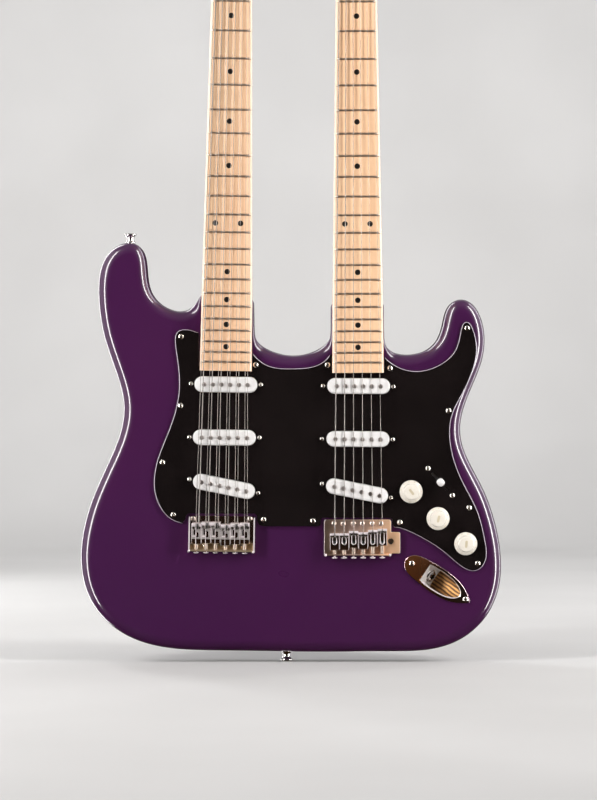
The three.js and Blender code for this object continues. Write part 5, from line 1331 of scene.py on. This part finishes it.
def strings_12():
    N, n = NECK12, NECK12["nut"]
    plain, wnd, balls = Geo(), Geo(), Geo()
    for i in range(6):
        for k, s in enumerate((-1, 1)):
            r = GAUGE12[i][k]
            ub = local_x(N, STRINGS12[i], 150) + s * 1.5
            un = -17.2 + i * 6.88 + s * 1.15
            q = i * 2 + k
            left = q < 6
            j = q if left else 11 - q
            pu, pv = (ROWS["left"] if left else ROWS["right"])["posts"][j]
            z = CREST12[i]
            rr = 2.3 + r
            ang = to_post(un, n, pu, pv, rr, left)
            wpts = winding(pu, pv, n, rr, ang, 3.0, HEAD_Y - 6.9, max(0.55, 2 * r + 0.08), left)
            ye = saddle_y(ub)
            crest = saddle_y(abs(local_x(N, STRINGS12[i], z)) + 1.5) + 0.55
            yb = crest - 0.15 + 0.2 - r * 0.2
            if s < 0:
                crest_y = yb - 0.05
                over = [(ub, crest_y + float(np.interp(d, [2.0, 5.5, 20.8], [0.9, 2.0, 4.9])) - 0.35 - r, z - d) for d in (z - 131.0, 12.0, 6.0, 3.0)]
                path = [(ub, at(5.6), 121.4), (ub, at(5.9), 123.8), (ub, at(7.4), 127.2)] + over + [(ub, yb + 0.15, z - 0.9), (ub, yb, z + 0.3)]
            else:
                path = [(ub, at(4.2), z - 7.0), (ub, yb + 2.4, z - 4.2), (ub, yb + 0.65, z - 1.9), (ub, yb + 0.1, z - 0.7), (ub, yb, z + 0.3)]
            yn = FRONT - 11.75 + arc(un) + 0.25
            path += [(ub + (un - ub) * t, yb + (yn - yb) * t, z + (n + 0.4 - z) * t) for t in (0.004, 0.33, 0.66, 0.996)]
            path += [(un, yn, n + 0.6), (un, yn, n + 2.2), (un, yn + 0.15, n + 3.2)] + wpts
            (wnd if r > 0.25 else plain).add(tube(path, r, 8), 0, F12)
            balls.add(lathe([(0, -1.6), (1.2, -1.6), (1.6, -1.1), (1.6, 1.1), (1.2, 1.6), (0, 1.6)], 14), 0, F12 @ Matrix.Translation((ub, at(5.6) if s < 0 else at(4.2), 121.0 if s < 0 else z - 7.4)) @ Matrix.Rotation(rad(90), 4, "X") @ Matrix.Diagonal((0.75, 0.75, 0.7, 1)))
    for name, g, mat, kw in (("strings_12_plain", plain, WIRE, dict(replaces=["strings_12"])), ("strings_12_wound", wnd, WOUND, {})):
        ob = piece(name, g, [mat, EDGE_HIGHLIGHT], slot="steel", angle=60, **kw)
        for q in ob.data.polygons:  # the ends over the saddles get the bright edge material, a painted highlight
            if q.center.z < 0.1475:
                q.material_index = 1
    piece("strings_12_ball_ends", balls, BRASS, slot="steel", angle=40)


def strings_6():
    N, n = NECK6, NECK6["nut"]
    for i in range(6):
        r, z = GAUGE6[i], CREST6[i]
        ub, un = local_x(N, STRINGS6[i], z), -18.1 + i * 7.24
        pu, pv = ROWS["six"]["posts"][i]
        rr = 2.3 + r
        ang = to_post(un, n, pu, pv, rr, True)
        top = HEAD_Y - 6.9
        wpts = winding(pu, pv, n, rr, ang, 3.0, top, max(0.55, 2 * r + 0.08), True)
        crest = saddle_y(u := abs(local_x(N, STRINGS6[i], z))) + 0.55
        yb = crest - 0.15 + 0.2 - r * 0.2
        path = [(ub, 10.8, 132.5), (ub, at(1.0), 132.5), (ub, at(4.4), 132.5), (ub, at(5.6), 132.9), (ub, yb + 4.0, z - 5.2), (ub, yb + 2.0, z - 3.1), (ub, yb + 0.55, z - 1.5), (ub, yb + 0.1, z - 0.6), (ub, yb, z + 0.3)]
        yn = FRONT - 11.75 + arc(un) + 0.25
        z0 = z + 0.3
        for zz in (z0 + 2.5, z0 + 5.5, z0 + 9, 158.5, 175.0):
            t = (zz - z0) / (n + 0.4 - z0)
            path.append((ub + (un - ub) * t, yb + (yn - yb) * t, zz))
        path += [(ub + (un - ub) * t, yb + (yn - yb) * t, z + (n + 0.4 - z) * t) for t in (0.33, 0.66, 0.996)]
        path += [(un, yn, n + 0.6), (un, yn, n + 2.2), (un, yn + 0.15, n + 3.2), wpts[0]]
        ob = raw("string_6_%d" % (i + 1), Geo(tube(path, r, 8), 0, F6), [WOUND if r > 0.3 else WIRE])
        for f in ob.data.polygons:
            f.use_smooth = True
        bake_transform(ob)
        post = "tuner_post_6_%d" % (i + 1)
        piece("string_winding_6_%d" % (i + 1), Geo(tube(wpts, r, 8), 0, F6), WOUND if r > 0.3 else WIRE, body=post, slot="steel", angle=60)
        piece("string_ball_6_%d" % (i + 1), Geo(lathe([(0, -1.5), (1.4, -1.5), (1.8, -1.0), (1.8, 1.0), (1.4, 1.5), (0, 1.5)], 14), 0, F6 @ Matrix.Translation((ub, 9.6, 132.5))), BRASS, body=TREM, slot="steel", angle=40)
    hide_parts("strings_6")


# ------------------------------------------------------------------ knobs and selector
def digits(text, size):
    cu = bpy.data.curves.new("t", "FONT")
    cu.body, cu.size, cu.align_x, cu.align_y, cu.extrude, cu.resolution_u = text, size * MM, "CENTER", "CENTER", 0.04 * MM, 2
    ob = bpy.data.objects.new("t", cu)
    scene.collection.objects.link(ob)
    dg = bpy.context.evaluated_depsgraph_get()
    me = bpy.data.meshes.new_from_object(ob.evaluated_get(dg))
    out = ([tuple(c / MM for c in v.co) for v in me.vertices], [tuple(p.vertices) for p in me.polygons])
    bpy.data.objects.remove(ob)
    bpy.data.curves.remove(cu)
    bpy.data.meshes.remove(me)
    return out


def knobs():
    numbers = [digits(str(i), 2.3) for i in range(1, 11)]
    for name, (x, z, deg) in KNOBS.items():
        prof = [(0, 15.55), (3.5, 15.5), (6.6, 15.35), (7.7, 15.2), (8.25, 14.8), (8.45, 14.2), (9.3, 7.6), (9.9, 6.9), (10.9, 6.2), (11.8, 5.6), (12.4, 4.95), (12.6, 4.4), (12.6, 3.6), (12.3, 3.3), (9.2, 3.3), (8.2, 6.2), (3.2, 6.2), (3.0, -9.0), (0, -9.0)]
        v, f = lathe(prof, 72)
        out = []
        for q in v:  # fine grip ribs on the barrel
            r = math.hypot(q[0], q[1])
            if 8.3 < r < 9.5 and 7.0 < q[2] < 14.6:
                a = math.atan2(q[1], q[0])
                k = 1 - 0.022 * (0.5 + 0.5 * math.cos(a * 24))
                out.append((q[0] * k, q[1] * k, q[2]))
            else:
                out.append(q)
        piece(name + "_plastic", Geo((out, f), 0, on_top(x, z)), KNOB_WHITE, body=name, slot="white_plastic", replaces=[name], angle=30)
        g = Geo()
        for i, part in enumerate(numbers):
            a = rad(deg) + rad(-150 + 300 * i / 9)
            tilt = math.atan2(0.7, 1.2)
            P = on_top(x, z) @ Matrix.Rotation(-a, 4, "Z") @ Matrix.Translation((0, 11.2, 6.06)) @ Matrix.Rotation(-tilt, 4, "X")
            g.add(part, 0, P)
        piece(name + "_marking", g, GOLD_PRINT, body=name, slot="white_plastic", angle=30)
        g = Geo(flat(rounded([(-1.35, -3.9), (1.35, -3.9), (1.35, 3.9), (-1.35, 3.9)], 1.2, 4), 15.4, 15.6), 0, on_top(x, z) @ Matrix.Rotation(rad(deg), 4, "Z"))
        piece(name + "_pointer", g, POINTER, body=name, slot="white_plastic", angle=30)
    sx, sz, dx, dz = SELECTOR
    L = Matrix.Translation((sx, at(-14), sz)) @ Matrix.Rotation(-math.atan2(dz, dx), 4, "Y")
    g = Geo(rod(2.6, -2.8, 2.8, 20, 0.3))
    g.add(box(-2.2, 2.2, -21.5, 0.5, -0.7, 0.7))
    piece("selector_blade", Geo(g, 0, L), STEEL, body="selector_lever", slot="steel", bevel=0.15, replaces=["selector_lever"])
    rings = []
    for y, a, b in [(-20.5, 2.6, 1.9), (-21.2, 2.9, 2.2), (-23.0, 3.5, 2.9), (-25.0, 4.2, 3.7), (-27.0, 4.4, 4.1), (-28.6, 4.2, 3.9), (-29.7, 3.5, 3.2), (-30.3, 2.4, 2.1), (-30.55, 1.0, 0.9)]:
        rings.append([(a * math.copysign(abs(math.cos(t)) ** 0.8, math.cos(t)), y, b * math.copysign(abs(math.sin(t)) ** 0.8, math.sin(t))) for t in [2 * math.pi * k / 28 for k in range(28)]])
    piece("selector_tip", Geo(loft(rings), 0, L), WHITE, body="selector_lever", slot="white_plastic", angle=45)


# ------------------------------------------------------------------ strap buttons and the back
def strap_button(name, M, length):
    prof = [(0, 0.55), (1.2, 0.5), (1.9, 0.1), (3.0, 0.05), (5.4, 0.0), (6.2, 0.25), (6.6, 0.9), (6.45, 1.7), (5.2, 2.7), (4.3, 3.9), (3.95, 5.4), (4.0, length - 3.4), (4.7, length - 1.9), (5.5, length - 0.9), (5.6, length - 0.35), (2.0, length - 0.3), (2.0, length + 22), (0, length + 24)]
    piece(name, Geo(lathe(prof, 40), 0, M), CHROME, slot="chrome", replaces=[name.replace("_metal", "")], angle=40)


def back_side():
    strap_button("strap_button_tail_metal", Matrix.Identity(4), 10.6)
    strap_button("strap_button_horn_metal", Matrix.Translation((-172.9, 0, 472.1)) @ Matrix.Rotation(math.pi, 4, "X"), 10.6)
    for tag, N, M, v in (("12", NECK12, F12, 358), ("6", NECK6, F6, 355.5)):
        g = Geo(prism(rounded(rect(-25.5, 25.5, v - 32, v + 32), 4.5), BACK + 0.3, BACK + 1.9), 0, M)
        piece("neck_plate_%s_metal" % tag, g, PLATE, slot="chrome", replaces=["neck_plate_" + tag], bevel=0.35, angle=40)
        g = Geo()
        for u in (-19, 19):
            for w in (-25.5, 25.5):
                g.add(phillips(4.3, 1.7), 0, M @ on_back(u, v + w, 1.9, rnd.uniform(0, 3)))
        piece("neck_plate_%s_screws" % tag, g, NICKEL, slot="chrome", angle=40)
    cover = [(36, 110), (121, 110), (121, 272), (36, 272)]
    p = rounded(cover, 5)
    ob = raw("rear_cover_sheet", Geo(edged([(x, z) for x, z in p], 0, 1.9, 1.2, 3)), [GUARD])
    ob.data.transform(Matrix(((1, 0, 0, 0), (0, -1, 0, (BACK + 2.2) * MM), (0, 0, 1, 0), (0, 0, 0, 1))))
    boolean(ob, Geo(prism(rounded(rect(48, 109, 126, 139), 6.4, 8), BACK - 3, BACK + 6)))
    done(ob, slot="black_plastic", replaces=["rear_cover"], angle=30)
    screws("rear_cover_screws", [(40.5, 114.5), (116.5, 114.5), (40.5, 191), (116.5, 191), (40.5, 267.5), (116.5, 267.5)], 2.9, 1.3, NICKEL, place=on_back, h=2.2)


body()
guard()
pickups()
jack_plate()
mirror12 = [(-u, v) for u, v in HEAD12_RIGHT]
neck("12", NECK12, F12, mirror12, HEAD12_RIGHT, ROWS["left"]["posts"] + ROWS["right"]["posts"])
neck("6", NECK6, F6, HEAD6_LEFT, HEAD6_RIGHT, ROWS["six"]["posts"])
tuners("left", NECK12, F12, "tuner_strip_12_left", "tuner_key_12_%02d", 1, False)
tuners("right", NECK12, F12, "tuner_strip_12_right", "tuner_key_12_%02d", 7, False)
tuners("six", NECK6, F6, "tuner_strip_6", "tuner_key_6_%d", 1, True)
bridge_12()
tremolo()
strings_12()
strings_6()
knobs()
back_side()


# ------------------------------------------------------------------ floor, light and camera
def stage_sweep():
    pts = [(-1.22, 0.0), (2.2, 0.0)] + [(2.2 + 0.8 * math.sin(t), 0.8 - 0.8 * math.cos(t)) for t in [rad(90) * i / 16 for i in range(1, 17)]] + [(3.3, 1.62)]
    v, f = [], []
    for y, z in pts:
        v += [(-3.2, y, z - 0.0006), (3.2, y, z - 0.0006)]
    for i in range(len(pts) - 1):
        f.append((2 * i, 2 * i + 1, 2 * i + 3, 2 * i + 2))
    me = bpy.data.meshes.new("floor")
    me.from_pydata(v, [], f)
    ob = bpy.data.objects.new("floor", me)
    scene.collection.objects.link(ob)
    for q in me.polygons:
        q.use_smooth = True
    m, nt, b = material("pale floor", (0.58, 0.575, 0.57), 0.75)
    nt.links.new(ramp(nt, noise(nt, coords(nt), 3.0, 2.0), [(0.3, (0.56, 0.555, 0.55)), (0.7, (0.60, 0.595, 0.59))]), b.inputs["Base Color"])
    me.materials.append(m)
    ob.visible_glossy = False
    # the floor round the sweep, for the views from the side and from behind; it adds no light to the guitar
    me = bpy.data.meshes.new("floor_far")
    pts = [(16.0, -0.0008), (-3.2, -0.0008)] + [(-3.2 - 0.8 * math.sin(t), 0.7992 - 0.8 * math.cos(t)) for t in [rad(90) * i / 16 for i in range(1, 17)]] + [(-4.3, 1.75)]
    me.from_pydata([(x, y, z) for x, z in pts for y in (-16.0, 16.0)], [], [(2 * i, 2 * i + 2, 2 * i + 3, 2 * i + 1) for i in range(len(pts) - 1)])
    for q in me.polygons:
        q.use_smooth = True
    far = bpy.data.objects.new("floor_far", me)
    scene.collection.objects.link(far)
    me.materials.append(m)
    far.visible_glossy = far.visible_diffuse = far.visible_shadow = False


def area(name, at_, aim, size, size_y, power, color=(1, 1, 1)):
    l = bpy.data.lights.new(name, "AREA")
    l.shape, l.size, l.size_y, l.energy, l.color = "RECTANGLE", size, size_y, power, color
    o = bpy.data.objects.new(name, l)
    o.location = at_
    o.rotation_mode = "QUATERNION"
    o.rotation_quaternion = (Vector(aim) - Vector(at_)).to_track_quat("-Z", "Y")
    o.visible_camera = False
    scene.collection.objects.link(o)
    return o


stage_sweep()
area("left front", (-1.66, -1.12, 0.62), (0, 0, 0.4), 0.3, 3.4, 73, (1.0, 0.985, 0.97))
area("left rim", (-0.95, 1.22, 0.62), (0, 0, 0.4), 0.26, 3.4, 22)
area("left side", (-1.98, 0.1, 0.62), (0, 0, 0.4), 1.5, 3.4, 12, (1.0, 0.97, 1.0))
area("right front", (1.84, -0.84, 0.62), (0, 0, 0.4), 0.3, 3.4, 77, (1.0, 0.985, 0.97))
area("right rim", (1.6, 0.88, 0.62), (0, 0, 0.4), 0.28, 3.4, 20)
area("right side", (2.0, 0.05, 0.62), (0, 0, 0.4), 1.1, 3.4, 8, (1.0, 0.97, 1.0))

area("backdrop", (0, 1.75, 1.9), (0, 2.75, 0.35), 4.6, 0.8, 34)
area("side backdrop", (-2.7, 0, 1.9), (-3.8, 0, 0.4), 0.8, 4.6, 34)

world = bpy.data.worlds.new("studio")
scene.world = world
world.use_nodes = True
nt = world.node_tree
bg = nt.nodes["Background"]
tc, sep = nt.nodes.new("ShaderNodeTexCoord"), nt.nodes.new("ShaderNodeSeparateXYZ")
nt.links.new(tc.outputs["Generated"], sep.inputs["Vector"])
fac = spread(nt, sep.outputs["Z"], 0.0, 1.0)
nt.nodes[-1].inputs["From Min"].default_value = -1.0
nt.links.new(ramp(nt, fac, [(0.0, (0.03, 0.015, 0.008)), (0.46, (0.014, 0.007, 0.004)), (0.56, (0.018, 0.013, 0.011)), (0.72, (0.14, 0.13, 0.13)), (1.0, (0.30, 0.30, 0.30))]), bg.inputs["Color"])
bg.inputs["Strength"].default_value = 1.0

cam = bpy.data.cameras.new("camera")
cam.lens, cam.sensor_width, cam.clip_start, cam.clip_end = 121.96, 36.0, 0.05, 50.0
co = bpy.data.objects.new("camera", cam)
co.location = (0.0132, -3.0, 0.2881)
co.rotation_euler = (math.pi / 2, 0, 0)
scene.collection.objects.link(co)
scene.camera = co
scene.view_settings.view_transform = "Standard"
